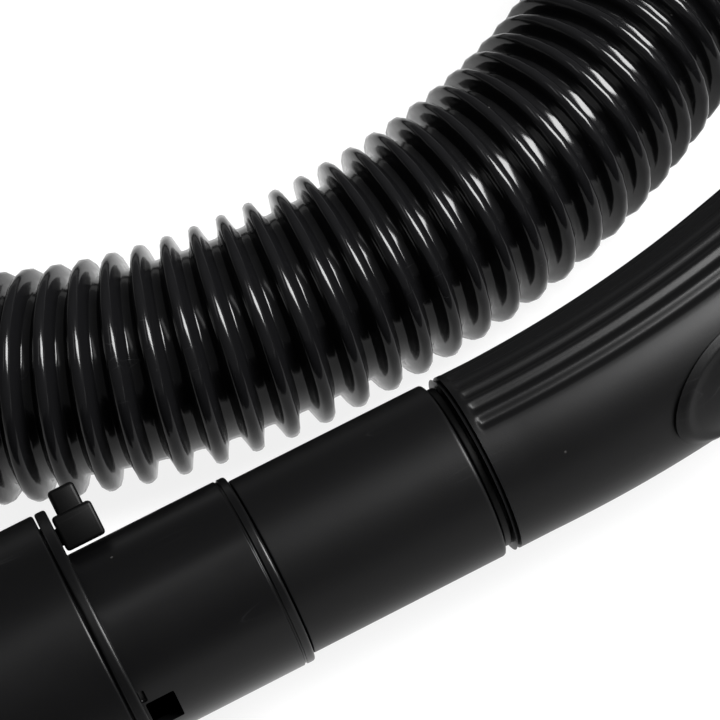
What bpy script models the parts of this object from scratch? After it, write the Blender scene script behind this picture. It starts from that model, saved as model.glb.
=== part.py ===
# Vacuum cleaner hose with its curved handle, in metres, +Z up.
# The handle's wand lies along X, its collar and the hose rest on the plane Z = 0, and the
# origin is under the middle of the handle. Everything along the handle is measured from the
# swivel groove between the wand's sleeve and the grip.

import bmesh
import bpy
import numpy as np
from math import cos, pi, radians, sin
from mathutils import Matrix, Vector

# Fits
GAP = 0.0003
SLIDE_GAP = 0.0005
EDGE = 0.0005
CUTTER_MARGIN = 0.004
WELD = 0.00001

# Facets
ROUND_STEPS = 24
RING_STEPS = 20
HIDDEN_SECTION_SIDES = 6
ROD_SIDES = 16
PAD_SIDES = 32
SMOOTH_ANGLE = radians(35)

# Swivels: a spigot turns in a socket, held by a snap ring and sealed by an O-ring
SPIGOT_LENGTH = 0.018
SNAP_RING_AT = 0.0125
SNAP_GROOVE_WIDTH = 0.0018
SNAP_GROOVE_DEPTH = 0.001
SNAP_RING_OVERLAP = 0.0009
SNAP_RING_OPENING = 0.004
O_RING_AT = 0.0055
O_RING_GROOVE_WIDTH = 0.0024
O_RING_GROOVE_DEPTH = 0.0014

# Wand, from the groove towards the tool
SLEEVE_DIAMETER = 0.035
SLEEVE_LENGTH = 0.0396
SLEEVE_SPIGOT_DIAMETER = 0.029
SLEEVE_SPIGOT_BORE = 0.0245
SLEEVE_PLUG_LENGTH = 0.020
SLEEVE_WALL = 0.0022
TUBE_DIAMETER = 0.0374
TUBE_WALL = 0.0017
TUBE_SHOWN = 0.0318
TUBE_LIP_WIDTH = 0.0016
TUBE_LIP_GROOVE = 0.0003
TUBE_SEAT = 0.005
WINDOW_LENGTH = 0.0056
WINDOW_WIDTH = 0.0075
WINDOW_FROM_RIM = 0.0005
WINDOW_ELEVATION = radians(3)
NOTCH_LENGTH = 0.0013
NOTCH_WIDTH = 0.0026
NOTCH_DEPTH = 0.0008
NOTCH_ELEVATION = radians(20)
COLLAR_RISE = 0.0093
COLLAR_WALL = 0.0025
COLLAR_LENGTH = 0.0545
COLLAR_CHAMFER = 0.001
RIM_WIDTH = 0.0022
SOCKET_LEDGE = 0.0007
SOCKET_DEPTH = 0.031
SOCKET_WALL = 0.002
SOCKET_STEP = 0.0017
SOCKET_RECESS = 0.0003
LIP_SEAL_FROM_MOUTH = 0.0034
LIP_SEAL_WIDTH = 0.0024
LIP_SEAL_SEAT = 0.0012
LIP_SEAL_REACH = 0.0006

# Release latch on the tube, with its rod through the collar's rim
LATCH_ELEVATION = radians(140)
LATCH_LENGTH = 0.0078
LATCH_WIDTH = 0.009
LATCH_HEIGHT = 0.0073
LATCH_NECK_LENGTH = 0.0052
LATCH_NECK_WIDTH = 0.005
LATCH_NECK_HEIGHT = 0.0118
LATCH_ROD_RADIUS = 0.0017
LATCH_ROD_HEIGHT = 0.0035
LATCH_ROD_LENGTH = 0.011
LATCH_HEAD_RADIUS = 0.0027
LATCH_HEAD_LENGTH = 0.002
SPRING_RADIUS = 0.0025
SPRING_WIRE = 0.0006
SPRING_CURLS = 5
SPRING_POINTS_PER_CURL = 8

# Grip, from the groove towards the hose
GROOVE_WIDTH = 0.0021
WASHER_DIAMETER = 0.0322
GRIP_START_DIAMETER = 0.035
GRIP_MIDDLE_DIAMETER = 0.0373
GRIP_END_DIAMETER = 0.0388
GRIP_CHAMFER = 0.0008
GRIP_BORE = 0.027
GRIP_LEAD = 0.008
GRIP_BEND_RADIUS = 0.225
GRIP_BEND = radians(36)
GRIP_BEND_STEPS = 10
GRIP_TAIL = 0.021
GRIP_MIDDLE = 0.067
RIDGE_COUNT = 20
RIDGE_SPAN = radians(225)
RIDGE_DEPTH = 0.0007
RIDGE_START = 0.0018
RIDGE_FADE = 0.0012
RIDGE_POINTS = 3
SMOOTH_SIDE_STEPS = 12

# Bleed slide over the vent in the grip
PAD_LENGTH = 0.036
PAD_WIDTH = 0.023
PAD_HEIGHT = 0.0012
PAD_AT = 0.0505
PAD_ELEVATION = radians(10)
PAD_TRAVEL = 0.008
STEM_LENGTH = 0.008
STEM_WIDTH = 0.004
KEEPER_LENGTH = 0.016
KEEPER_WIDTH = 0.010
KEEPER_THICKNESS = 0.0012
STEM_END = 0.0008
VENT_DIAMETER = 0.005
VENT_FROM_PAD_END = 0.0045

# Cuffs on the hose
CUFF_DIAMETER = 0.0506
CUFF_LENGTH = 0.040
CUFF_RIM_WIDTH = 0.006
CUFF_SHOULDER_DIAMETER = 0.039
CUFF_SHOULDER_TAPER = 0.006
CUFF_SOCKET_DEPTH = 0.022
CUFF_SPIGOT_DIAMETER = 0.033
CUFF_SPIGOT_BORE = 0.028

# Connector that pushes into the cleaner
CONNECTOR_LENGTH = 0.060
CONNECTOR_BARREL_DIAMETER = 0.042
CONNECTOR_FLANGE_DIAMETER = 0.046
CONNECTOR_FLANGE_FROM = 0.0145
CONNECTOR_FLANGE_WIDTH = 0.005
CONNECTOR_ROOT_DIAMETER = 0.040
CONNECTOR_TIP_DIAMETER = 0.038
CONNECTOR_BORE = 0.030
CONNECTOR_SEAL_FROM_TIP = 0.010
CONNECTOR_SEAL_WIDTH = 0.0024
CONNECTOR_SEAL_DEPTH = 0.0015
CONNECTOR_SEAL_PROUD = 0.0008

# Hose
HOSE_DIAMETER = 0.046
HOSE_RIB_HEIGHT = 0.0039
HOSE_BORE = 0.036
HOSE_RIBS = 140
HOSE_BORE_POINTS = 62
HOSE_ROUTE_SAMPLES = 24
HOSE_CLEARANCE = 0.0003
HOSE_SETTLE_LENGTH = 0.18
MACHINE_CUFF_MOUTH = (0.160, 0.286)
MACHINE_HEADING = radians(90)

# The free hose, point by point from the handle to the machine end
HOSE_ROUTE = (
    (0.285, 0.173), (0.305, 0.259), (0.285, 0.345), (0.224, 0.415), (0.126, 0.455),
    (0.010, 0.445), (-0.091, 0.384), (-0.147, 0.292), (-0.155, 0.197), (-0.123, 0.120),
    (-0.069, 0.0735), (-0.044, 0.0629), (-0.015, 0.0578), (0.013, 0.0587), (0.044, 0.0653),
    (0.079, 0.0840), (0.1155, 0.1175), (0.1422, 0.1593), (0.1571, 0.2066),
)

# Finishes: colour, roughness, metallic
GLOSS_VINYL = ((0.012, 0.012, 0.013), 0.12, 0.0)
SATIN_BLACK = ((0.016, 0.016, 0.017), 0.34, 0.0)
RUBBER = ((0.02, 0.02, 0.02), 0.8, 0.0)
STEEL = ((0.55, 0.55, 0.56), 0.3, 1.0)
ACETAL = ((0.06, 0.06, 0.065), 0.4, 0.0)

# The socket, the collar and the latch follow the outlet tube
TUBE_BORE = TUBE_DIAMETER - 2 * TUBE_WALL
SOCKET_BORE = TUBE_BORE + 2 * SOCKET_LEDGE
SOCKET_DIAMETER = TUBE_DIAMETER + 2 * GAP + 2 * SOCKET_WALL
COLLAR_DIAMETER = TUBE_DIAMETER + 2 * COLLAR_RISE
LATCH_TOP = TUBE_DIAMETER / 2 + LATCH_HEIGHT
LATCH_NECK_TOP = TUBE_DIAMETER / 2 + LATCH_NECK_HEIGHT
LATCH_ROD_AT = TUBE_DIAMETER / 2 + LATCH_ROD_HEIGHT

# The handle's axis stands as high as the collar's radius, and so do the cuffs'
AXIS_HEIGHT = COLLAR_DIAMETER / 2
TUBE_END = -SLEEVE_LENGTH - GAP
RIM_FACE = TUBE_END - TUBE_SHOWN
COLLAR_RIGHT = RIM_FACE - RIM_WIDTH - GAP
COLLAR_LEFT = COLLAR_RIGHT - COLLAR_LENGTH
SOCKET_MOUTH = COLLAR_LEFT + SOCKET_RECESS
GRIP_LENGTH = GRIP_LEAD + GRIP_BEND_RADIUS * GRIP_BEND + GRIP_TAIL
CUTTERS = bpy.data.collections.new("cutters")
PART = bpy.data.collections.new("vacuum_hose")


def on_grip(along):
    """Point and heading on the grip's centre line, from its end at the groove."""
    straight = min(along, GRIP_LEAD)
    turned_by = min(max(along - GRIP_LEAD, 0), GRIP_BEND_RADIUS * GRIP_BEND) / GRIP_BEND_RADIUS
    tail = max(along - GRIP_LEAD - GRIP_BEND_RADIUS * GRIP_BEND, 0)
    x = GROOVE_WIDTH + straight + GRIP_BEND_RADIUS * sin(turned_by) + tail * cos(turned_by)
    y = GRIP_BEND_RADIUS * (1 - cos(turned_by)) + tail * sin(turned_by)
    return Vector((x, y, 0)), turned_by


GRIP_END, GRIP_HEADING = on_grip(GRIP_LENGTH)

# The origin is under the middle of the handle's box
GROOVE = Vector((
    -(COLLAR_LEFT + GRIP_END.x + GRIP_END_DIAMETER / 2 * sin(GRIP_HEADING)) / 2,
    -(-COLLAR_DIAMETER / 2 + GRIP_END.y + GRIP_END_DIAMETER / 2 * cos(GRIP_HEADING)) / 2,
    AXIS_HEIGHT,
))


def along_axis(point, heading):
    """Frame at a point with its Z axis level and pointing along the heading."""
    turn = Matrix.Rotation(heading, 4, "Z") @ Matrix.Rotation(pi / 2, 4, "Y")
    return Matrix.Translation(GROOVE + Vector(point)) @ turn


def on_wand(along, elevation):
    """Frame on the wand's axis: X along the wand, Z outwards at an elevation from -Y over the top."""
    return Matrix.Translation(GROOVE + Vector((along, 0, 0))) @ Matrix.Rotation(pi / 2 - elevation, 4, "X")


def frame_on_grip(along):
    """Frame on the grip's centre line: X along it, Z outwards through the bleed slide's pad."""
    point, heading = on_grip(along)
    turn = Matrix.Rotation(heading, 4, "Z") @ Matrix.Rotation(pi / 2 - PAD_ELEVATION, 4, "X")
    return Matrix.Translation(GROOVE + point) @ turn


def make_material(name, finish):
    colour, roughness, metallic = finish
    material = bpy.data.materials.new(name + "_finish")
    material.use_nodes = True
    shader = material.node_tree.nodes["Principled BSDF"]
    shader.inputs["Base Color"].default_value = (*colour, 1)
    shader.inputs["Roughness"].default_value = roughness
    shader.inputs["Metallic"].default_value = metallic
    return material


def add_part(name, mesh, matrix, finish, parent):
    """A named piece, placed in the world and parented to the empty on its joint's axis."""
    piece = bpy.data.objects.new(name, mesh)
    PART.objects.link(piece)
    piece.data.materials.append(make_material(name, finish))
    piece.parent = parent
    piece.matrix_parent_inverse = parent.matrix_world.inverted()
    piece.matrix_basis = matrix
    return piece


def add_cutter(name, mesh, matrix):
    cutter = bpy.data.objects.new(name, mesh)
    CUTTERS.objects.link(cutter)
    cutter.matrix_basis = matrix
    cutter.hide_render = True
    cutter.display_type = "WIRE"
    return cutter


def add_axis(name, matrix, parent=None):
    """An empty on a joint's axis, which carries the pieces that move with it."""
    axis = bpy.data.objects.new(name, None)
    PART.objects.link(axis)
    axis.empty_display_size = COLLAR_DIAMETER
    axis.parent = parent
    if parent:
        axis.matrix_parent_inverse = parent.matrix_world.inverted()
    axis.matrix_basis = matrix
    bpy.context.view_layer.update()
    return axis


def combine(piece, cutter, operation="DIFFERENCE"):
    modifier = piece.modifiers.new(cutter.name, "BOOLEAN")
    modifier.operation = operation
    modifier.object = cutter
    return piece


def profile_mesh(name, points, closed=True):
    """Line of (radius, height) points in the XZ plane, for a Screw modifier."""
    mesh = bpy.data.meshes.new(name)
    edges = [(i, i + 1) for i in range(len(points) - 1)]
    if closed:
        edges.append((len(points) - 1, 0))
    mesh.from_pydata([(radius, 0, height) for radius, height in points], edges, [])
    return mesh


def turn(piece, steps=ROUND_STEPS):
    """Turn the piece's profile about its Z axis."""
    screw = piece.modifiers.new("turned", "SCREW")
    screw.steps = steps
    screw.render_steps = steps
    screw.use_merge_vertices = True
    screw.merge_threshold = WELD
    return piece


def turned(name, outer, inner, matrix, finish, parent, steps=ROUND_STEPS):
    """A turned piece: its outer side from the top down, then its inner side back up."""
    return turn(add_part(name, profile_mesh(name, outer + inner), matrix, finish, parent), steps)


def turned_cutter(name, outer, matrix):
    """A turned solid cutter, closed to its axis."""
    profile = [(0, outer[0][1])] + outer + [(0, outer[-1][1])]
    return turn(add_cutter(name, profile_mesh(name, profile, closed=False), matrix))


def box_mesh(name, size, centre):
    shape = bmesh.new()
    bmesh.ops.create_cube(shape, size=1)
    bmesh.ops.scale(shape, vec=size, verts=shape.verts)
    bmesh.ops.translate(shape, vec=centre, verts=shape.verts)
    return to_mesh(name, shape)


def rod_mesh(name, radius, start, end, height):
    """Round rod along X, at a height over it."""
    shape = bmesh.new()
    bmesh.ops.create_cone(shape, cap_ends=True, segments=ROD_SIDES, radius1=radius, radius2=radius,
                          depth=end - start)
    bmesh.ops.rotate(shape, matrix=Matrix.Rotation(pi / 2, 3, "Y"), verts=shape.verts)
    bmesh.ops.translate(shape, vec=((start + end) / 2, 0, height), verts=shape.verts)
    return to_mesh(name, shape)


def to_mesh(name, shape):
    mesh = bpy.data.meshes.new(name)
    shape.to_mesh(mesh)
    shape.free()
    return mesh


def loft_mesh(name, rings):
    """Closed body through rings of points that all have the same count."""
    shape = bmesh.new()
    loops = [[shape.verts.new(point) for point in ring] for ring in rings]
    for near, far in zip(loops, loops[1:]):
        for i in range(len(near)):
            shape.faces.new((near[i - 1], near[i], far[i], far[i - 1]))
    shape.faces.new(loops[0])
    shape.faces.new(loops[-1])
    bmesh.ops.recalc_face_normals(shape, faces=shape.faces)
    return to_mesh(name, shape)


def spigot_side(radius, mouth, shoulder):
    """Outer side of a swivel's spigot from its tip down to its shoulder, with its two grooves."""
    tip = mouth + SPIGOT_LENGTH
    points = [(radius - EDGE, tip), (radius, tip - EDGE)]
    grooves = (
        (mouth + SNAP_RING_AT, SNAP_GROOVE_WIDTH, SNAP_GROOVE_DEPTH),
        (mouth + O_RING_AT, O_RING_GROOVE_WIDTH, O_RING_GROOVE_DEPTH),
    )
    for centre, width, depth in grooves:
        points.append((radius, centre + width / 2))
        points.append((radius - depth, centre + width / 2))
        points.append((radius - depth, centre - width / 2))
        points.append((radius, centre - width / 2))
    points.append((radius, shoulder))
    return points


def socket_side(radius, mouth):
    """Inner side of a swivel's socket from its mouth up, for a spigot of this radius."""
    bore = radius + GAP
    low = mouth + SNAP_RING_AT - SNAP_GROOVE_WIDTH / 2
    high = mouth + SNAP_RING_AT + SNAP_GROOVE_WIDTH / 2
    seat = bore + GAP + SNAP_RING_OVERLAP
    top = mouth + SPIGOT_LENGTH + GAP
    return [(bore, mouth), (bore, low), (seat, low), (seat, high), (bore, high), (bore, top)]


def make_snap_ring(name, radius, mouth, matrix, parent):
    """Open ring that sits half in the spigot's groove and half in the socket's."""
    inside = radius - SNAP_GROOVE_DEPTH + GAP
    outside = radius + GAP + SNAP_RING_OVERLAP
    low = mouth + SNAP_RING_AT - SNAP_GROOVE_WIDTH / 2 + GAP
    high = mouth + SNAP_RING_AT + SNAP_GROOVE_WIDTH / 2 - GAP
    ring = turned(name, [(outside, high), (outside, low)], [(inside, low), (inside, high)],
                  matrix, ACETAL, parent, RING_STEPS)
    size = (2 * CUTTER_MARGIN, SNAP_RING_OPENING, SNAP_GROOVE_WIDTH)
    opening = box_mesh(name + "_opening", size, (radius, 0, mouth + SNAP_RING_AT))
    return combine(ring, add_cutter(name + "_opening", opening, matrix))


def make_o_ring(name, radius, mouth, matrix, parent):
    """Sealing ring between the spigot's groove and the socket's bore."""
    section = (O_RING_GROOVE_DEPTH + GAP) / 2 - GAP
    centre = radius - section
    ring = []
    for i in range(HIDDEN_SECTION_SIDES):
        angle = -2 * pi * (i + 0.5) / HIDDEN_SECTION_SIDES
        ring.append((centre + section * cos(angle), mouth + O_RING_AT + section * sin(angle)))
    return turned(name, ring, [], matrix, RUBBER, parent, RING_STEPS)


def make_wand(wand):
    """Sleeve, outlet tube, tool socket, collar and latch, on the straight axis."""
    axis = along_axis((0, 0, 0), 0)
    spigot = SLEEVE_SPIGOT_DIAMETER / 2
    sleeve = SLEEVE_DIAMETER / 2
    plug = TUBE_BORE / 2 - GAP
    plug_end = -SLEEVE_LENGTH - SLEEVE_PLUG_LENGTH
    outer = spigot_side(spigot, GROOVE_WIDTH, 0)
    outer += [(sleeve - EDGE, 0), (sleeve, -EDGE), (sleeve, EDGE - SLEEVE_LENGTH)]
    outer += [(sleeve - EDGE, -SLEEVE_LENGTH), (plug, -SLEEVE_LENGTH)]
    outer += [(plug, plug_end + EDGE), (plug - EDGE, plug_end)]
    wide = plug - SLEEVE_WALL
    narrow = SLEEVE_SPIGOT_BORE / 2
    inner = [(wide, plug_end), (wide, -SLEEVE_LENGTH / 2), (narrow, -SLEEVE_WALL)]
    inner += [(narrow, GROOVE_WIDTH + SPIGOT_LENGTH)]
    turned("wand_sleeve", outer, inner, axis, SATIN_BLACK, wand)

    washer = WASHER_DIAMETER / 2
    outer = [(washer, GROOVE_WIDTH - GAP), (washer, GAP)]
    inner = [(spigot + GAP, GAP), (spigot + GAP, GROOVE_WIDTH - GAP)]
    turned("swivel_washer", outer, inner, axis, ACETAL, wand, RING_STEPS)

    make_tube(wand, axis)
    make_tool_socket(wand, axis)
    make_collar(wand, axis)
    make_latch(wand)


def make_tube(wand, axis):
    """Outlet tube with its end lip, the square window and the notch by the rim."""
    tube = TUBE_DIAMETER / 2
    bore = TUBE_BORE / 2
    seat = SOCKET_MOUTH + SOCKET_DEPTH + SOCKET_STEP + GAP
    lip = TUBE_END - TUBE_LIP_WIDTH
    outer = [(tube - EDGE, TUBE_END), (tube, TUBE_END - EDGE), (tube, lip), (tube - TUBE_LIP_GROOVE, lip)]
    outer += [(tube - TUBE_LIP_GROOVE, lip - EDGE), (tube, lip - EDGE), (tube, seat)]
    inner = [(bore, seat), (bore, TUBE_END)]
    piece = turned("outlet_tube", outer, inner, axis, SATIN_BLACK, wand)

    size = (WINDOW_LENGTH, WINDOW_WIDTH, 2 * CUTTER_MARGIN)
    place = on_wand(RIM_FACE + WINDOW_FROM_RIM, WINDOW_ELEVATION)
    combine(piece, add_cutter("window", box_mesh("window", size, (WINDOW_LENGTH / 2, 0, tube)), place))

    reach = NOTCH_DEPTH + CUTTER_MARGIN
    size = (NOTCH_LENGTH, NOTCH_WIDTH, reach)
    centre = (NOTCH_LENGTH / 2, 0, tube - NOTCH_DEPTH + reach / 2)
    place = on_wand(RIM_FACE, NOTCH_ELEVATION)
    combine(piece, add_cutter("notch", box_mesh("notch", size, centre), place))


def make_tool_socket(wand, axis):
    """Socket that takes the tool's tube, its step, and the seat of the outlet tube behind it."""
    outside = SOCKET_DIAMETER / 2
    bore = SOCKET_BORE / 2
    step = SOCKET_MOUTH + SOCKET_DEPTH
    tube_seat = step + SOCKET_STEP
    top = tube_seat + TUBE_SEAT
    seal_low = SOCKET_MOUTH + LIP_SEAL_FROM_MOUTH
    seal_high = seal_low + LIP_SEAL_WIDTH + 2 * GAP
    seal_seat = bore + LIP_SEAL_SEAT + GAP
    outer = [(outside, top), (outside, SOCKET_MOUTH)]
    narrow = TUBE_BORE / 2
    wide = TUBE_DIAMETER / 2 + GAP
    inner = [(bore + EDGE, SOCKET_MOUTH), (bore, SOCKET_MOUTH + EDGE), (bore, seal_low)]
    inner += [(seal_seat, seal_low), (seal_seat, seal_high), (bore, seal_high), (bore, step)]
    inner += [(narrow, step), (narrow, tube_seat), (wide, tube_seat), (wide, top)]
    turned("tool_socket", outer, inner, axis, SATIN_BLACK, wand)

    root = bore + LIP_SEAL_SEAT
    low = seal_low + GAP
    high = seal_high - GAP
    lip = bore - LIP_SEAL_REACH
    outer = [(root, high), (root, low)]
    inner = [(bore, low), (lip, (low + high) / 2), (bore, high)]
    turned("tool_lip_seal", outer, inner, axis, RUBBER, wand, RING_STEPS)


def make_collar(wand, axis):
    """Round collar over the tool socket, and its rim ring, which the latch's rod passes."""
    outside = COLLAR_DIAMETER / 2
    inside = outside - COLLAR_WALL
    hole = SOCKET_DIAMETER / 2 + GAP
    chamfer = COLLAR_CHAMFER
    outer = [(outside - EDGE, COLLAR_RIGHT), (outside, COLLAR_RIGHT - EDGE)]
    outer += [(outside, COLLAR_LEFT + chamfer), (outside - chamfer, COLLAR_LEFT)]
    inner = [(hole, COLLAR_LEFT), (hole, COLLAR_LEFT + COLLAR_WALL), (inside, COLLAR_LEFT + COLLAR_WALL)]
    inner += [(inside, COLLAR_RIGHT)]
    turned("collar_shell", outer, inner, axis, SATIN_BLACK, wand)

    back = RIM_FACE - RIM_WIDTH
    hole = TUBE_DIAMETER / 2 + GAP
    outer = [(outside - EDGE, RIM_FACE), (outside, RIM_FACE - EDGE)]
    outer += [(outside, back + EDGE), (outside - EDGE, back)]
    inner = [(hole, back), (hole, RIM_FACE)]
    ring = turned("collar_rim_ring", outer, inner, axis, SATIN_BLACK, wand)
    start = -RIM_WIDTH - CUTTER_MARGIN
    hole = rod_mesh("rod_hole", LATCH_ROD_RADIUS + GAP, start, CUTTER_MARGIN, LATCH_ROD_AT)
    combine(ring, add_cutter("rod_hole", hole, on_wand(RIM_FACE, LATCH_ELEVATION)))


def make_latch(wand):
    """Latch block on the tube against the rim, its rod and head, and the spring on the rod."""
    place = on_wand(RIM_FACE, LATCH_ELEVATION)
    latch_axis = add_axis("latch_slide", place, wand)
    foot = TUBE_DIAMETER / 2 + SLIDE_GAP
    size = (LATCH_LENGTH, LATCH_WIDTH, LATCH_TOP - foot)
    block = box_mesh("release_latch", size, (GAP + LATCH_LENGTH / 2, 0, (LATCH_TOP + foot) / 2))
    latch = add_part("release_latch", block, place, SATIN_BLACK, latch_axis)
    bevel = latch.modifiers.new("edges", "BEVEL")
    bevel.width = EDGE
    bevel.segments = 1

    middle = GAP + LATCH_LENGTH / 2
    neck_height = LATCH_NECK_TOP - foot - EDGE
    size = (LATCH_NECK_LENGTH, LATCH_NECK_WIDTH, neck_height)
    neck = box_mesh("latch_neck", size, (middle, 0, LATCH_NECK_TOP - neck_height / 2))
    combine(latch, add_cutter("latch_neck", neck, place), "UNION")

    rod_end = -RIM_WIDTH - LATCH_ROD_LENGTH
    rod = rod_mesh("latch_rod", LATCH_ROD_RADIUS, rod_end - EDGE, middle, LATCH_ROD_AT)
    combine(latch, add_cutter("latch_rod", rod, place), "UNION")
    head = rod_mesh("latch_head", LATCH_HEAD_RADIUS, rod_end - LATCH_HEAD_LENGTH, rod_end, LATCH_ROD_AT)
    combine(latch, add_cutter("latch_head", head, place), "UNION")
    make_spring(wand, place, rod_end + GAP, -RIM_WIDTH - GAP)


def make_spring(wand, place, low, high):
    """Compression spring on the latch's rod, between its head and the rim ring."""
    wire = SPRING_WIRE / 2
    count = SPRING_CURLS * SPRING_POINTS_PER_CURL
    rise = (high - low - SPRING_WIRE) / count
    points = []
    for i in range(count + 1):
        angle = 2 * pi * i / SPRING_POINTS_PER_CURL
        x = low + wire + rise * i
        points.append((x, SPRING_RADIUS * cos(angle), LATCH_ROD_AT + SPRING_RADIUS * sin(angle)))
    curve = poly_curve("latch_spring", points, [wire] * len(points), bevel_resolution=1)
    add_part("latch_spring", solid_from_curve("latch_spring", curve), place, STEEL, wand)
    gap = (high - low - SPRING_WIRE) / SPRING_CURLS - SPRING_WIRE
    print(f"latch_spring: least gap between curls {gap * 1000:.2f} mm")


def poly_curve(name, points, radii, bevel_resolution=2):
    """Tube along a list of points, with its own radius at each."""
    curve = bpy.data.curves.new(name, "CURVE")
    curve.dimensions = "3D"
    curve.twist_mode = "Z_UP" if bevel_resolution == 2 else "MINIMUM"
    curve.bevel_depth = max(radii)
    curve.bevel_resolution = bevel_resolution
    curve.use_fill_caps = True
    spline = curve.splines.new("POLY")
    spline.points.add(len(points) - 1)
    for knot, point, radius in zip(spline.points, points, radii):
        knot.co = (*point, 1)
        knot.radius = radius / curve.bevel_depth
    return curve


def solid_from_curve(name, curve):
    """The curve's tube as a closed mesh, with its caps welded on."""
    guide = bpy.data.objects.new(name + "_guide", curve)
    CUTTERS.objects.link(guide)
    bpy.context.view_layer.update()
    evaluated = guide.evaluated_get(bpy.context.evaluated_depsgraph_get())
    mesh = bpy.data.meshes.new_from_object(evaluated)
    bpy.data.objects.remove(guide)
    shape = bmesh.new()
    shape.from_mesh(mesh)
    bmesh.ops.remove_doubles(shape, verts=shape.verts, dist=WELD)
    bmesh.ops.recalc_face_normals(shape, faces=shape.faces)
    shape.to_mesh(mesh)
    shape.free()
    return mesh


def grip_radius(along):
    """The grip swells from the groove to its middle, then more slowly to its end."""
    start = GRIP_START_DIAMETER / 2
    middle = GRIP_MIDDLE_DIAMETER / 2
    end = GRIP_END_DIAMETER / 2
    return float(np.interp(along, (GRIP_LEAD, GRIP_MIDDLE, GRIP_LENGTH), (start, middle, end)))


def grip_section():
    """(elevation, share of a ridge's groove) round the grip: the smooth side, then the ridges."""
    half_smooth = pi - RIDGE_SPAN / 2
    section = []
    for i in range(SMOOTH_SIDE_STEPS):
        section.append((-half_smooth + 2 * half_smooth * i / SMOOTH_SIDE_STEPS, 0))
    for i in range(RIDGE_COUNT * RIDGE_POINTS):
        share = i / RIDGE_POINTS
        depth = (1 - cos(2 * pi * share)) / 2
        section.append((half_smooth + RIDGE_SPAN * share / RIDGE_COUNT, depth))
    return section


def grip_ring(along, section, radius, depth=0):
    """Ring of points round the grip's centre line."""
    point, heading = on_grip(along)
    outwards = Vector((sin(heading), -cos(heading), 0))
    ring = []
    for elevation, share in section:
        reach = radius - depth * share
        above = Vector((0, 0, reach * sin(elevation)))
        ring.append(GROOVE + point + outwards * reach * cos(elevation) + above)
    return ring


def grip_stations():
    """Places along the grip's bend where its shell has a ring."""
    bend = GRIP_BEND_RADIUS * GRIP_BEND
    return [GRIP_LEAD + bend * i / GRIP_BEND_STEPS for i in range(GRIP_BEND_STEPS + 1)]


def round_sweep(name, radius_at, start, end):
    """Cutter of round section along part of the grip's centre line."""
    stations = [start] + [s for s in grip_stations() if start < s < end] + [end]
    section = [(elevation, 0) for elevation, _ in grip_section()[:SMOOTH_SIDE_STEPS]]
    for i in range(SMOOTH_SIDE_STEPS):
        section.append((pi - RIDGE_SPAN / 2 + RIDGE_SPAN * i / SMOOTH_SIDE_STEPS, 0))
    return loft_mesh(name, [grip_ring(s, section, radius_at(s)) for s in stations])


def make_grip(grip):
    """Grip shell with its ridges, its two swivel sockets, the bleed's vent and slot."""
    section = grip_section()
    stations = grip_stations()
    ridge_end = stations[-2]
    rings = [grip_ring(0, section, GRIP_START_DIAMETER / 2 - GRIP_CHAMFER)]
    rings.append(grip_ring(GRIP_CHAMFER, section, GRIP_START_DIAMETER / 2))
    rings.append(grip_ring(RIDGE_START, section, GRIP_START_DIAMETER / 2))
    rings.append(grip_ring(RIDGE_START + RIDGE_FADE, section, GRIP_START_DIAMETER / 2, RIDGE_DEPTH))
    for along in stations:
        depth = RIDGE_DEPTH if along < ridge_end else 0
        rings.append(grip_ring(along, section, grip_radius(along), depth))
    rings.append(grip_ring(GRIP_LENGTH, section, GRIP_END_DIAMETER / 2))
    shell = add_part("grip_shell", loft_mesh("grip_shell", rings), Matrix.Identity(4), SATIN_BLACK, grip)

    inset = SPIGOT_LENGTH - CUTTER_MARGIN
    bore = round_sweep("grip_bore", lambda along: GRIP_BORE / 2, inset, GRIP_LENGTH - inset)
    combine(shell, add_cutter("grip_bore", bore, Matrix.Identity(4)))
    sockets = (
        ("sleeve_socket", SLEEVE_SPIGOT_DIAMETER / 2, along_axis((GROOVE_WIDTH, 0, 0), 0)),
        ("cuff_socket", CUFF_SPIGOT_DIAMETER / 2, along_axis(GRIP_END, GRIP_HEADING + pi)),
    )
    for name, radius, place in sockets:
        side = socket_side(radius, 0)
        side[0] = (side[0][0], -CUTTER_MARGIN)
        combine(shell, turned_cutter(name, side[::-1], place))
    cut_bleed(shell)


def cut_bleed(shell):
    """Slot for the slide's stem, and the vent that the slide uncovers."""
    reach = GRIP_MIDDLE_DIAMETER / 2 + CUTTER_MARGIN
    length = STEM_LENGTH + PAD_TRAVEL + 2 * SLIDE_GAP
    size = (length, STEM_WIDTH + 2 * SLIDE_GAP, reach)
    middle = PAD_AT + PAD_TRAVEL / 2
    slot = box_mesh("stem_slot", size, (0, 0, reach / 2))
    combine(shell, add_cutter("stem_slot", slot, frame_on_grip(middle)))
    vent = rod_mesh("vent", VENT_DIAMETER / 2, 0, reach, 0)
    place = frame_on_grip(PAD_AT - PAD_LENGTH / 2 + VENT_FROM_PAD_END) @ Matrix.Rotation(-pi / 2, 4, "Y")
    combine(shell, add_cutter("vent", vent, place))


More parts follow.
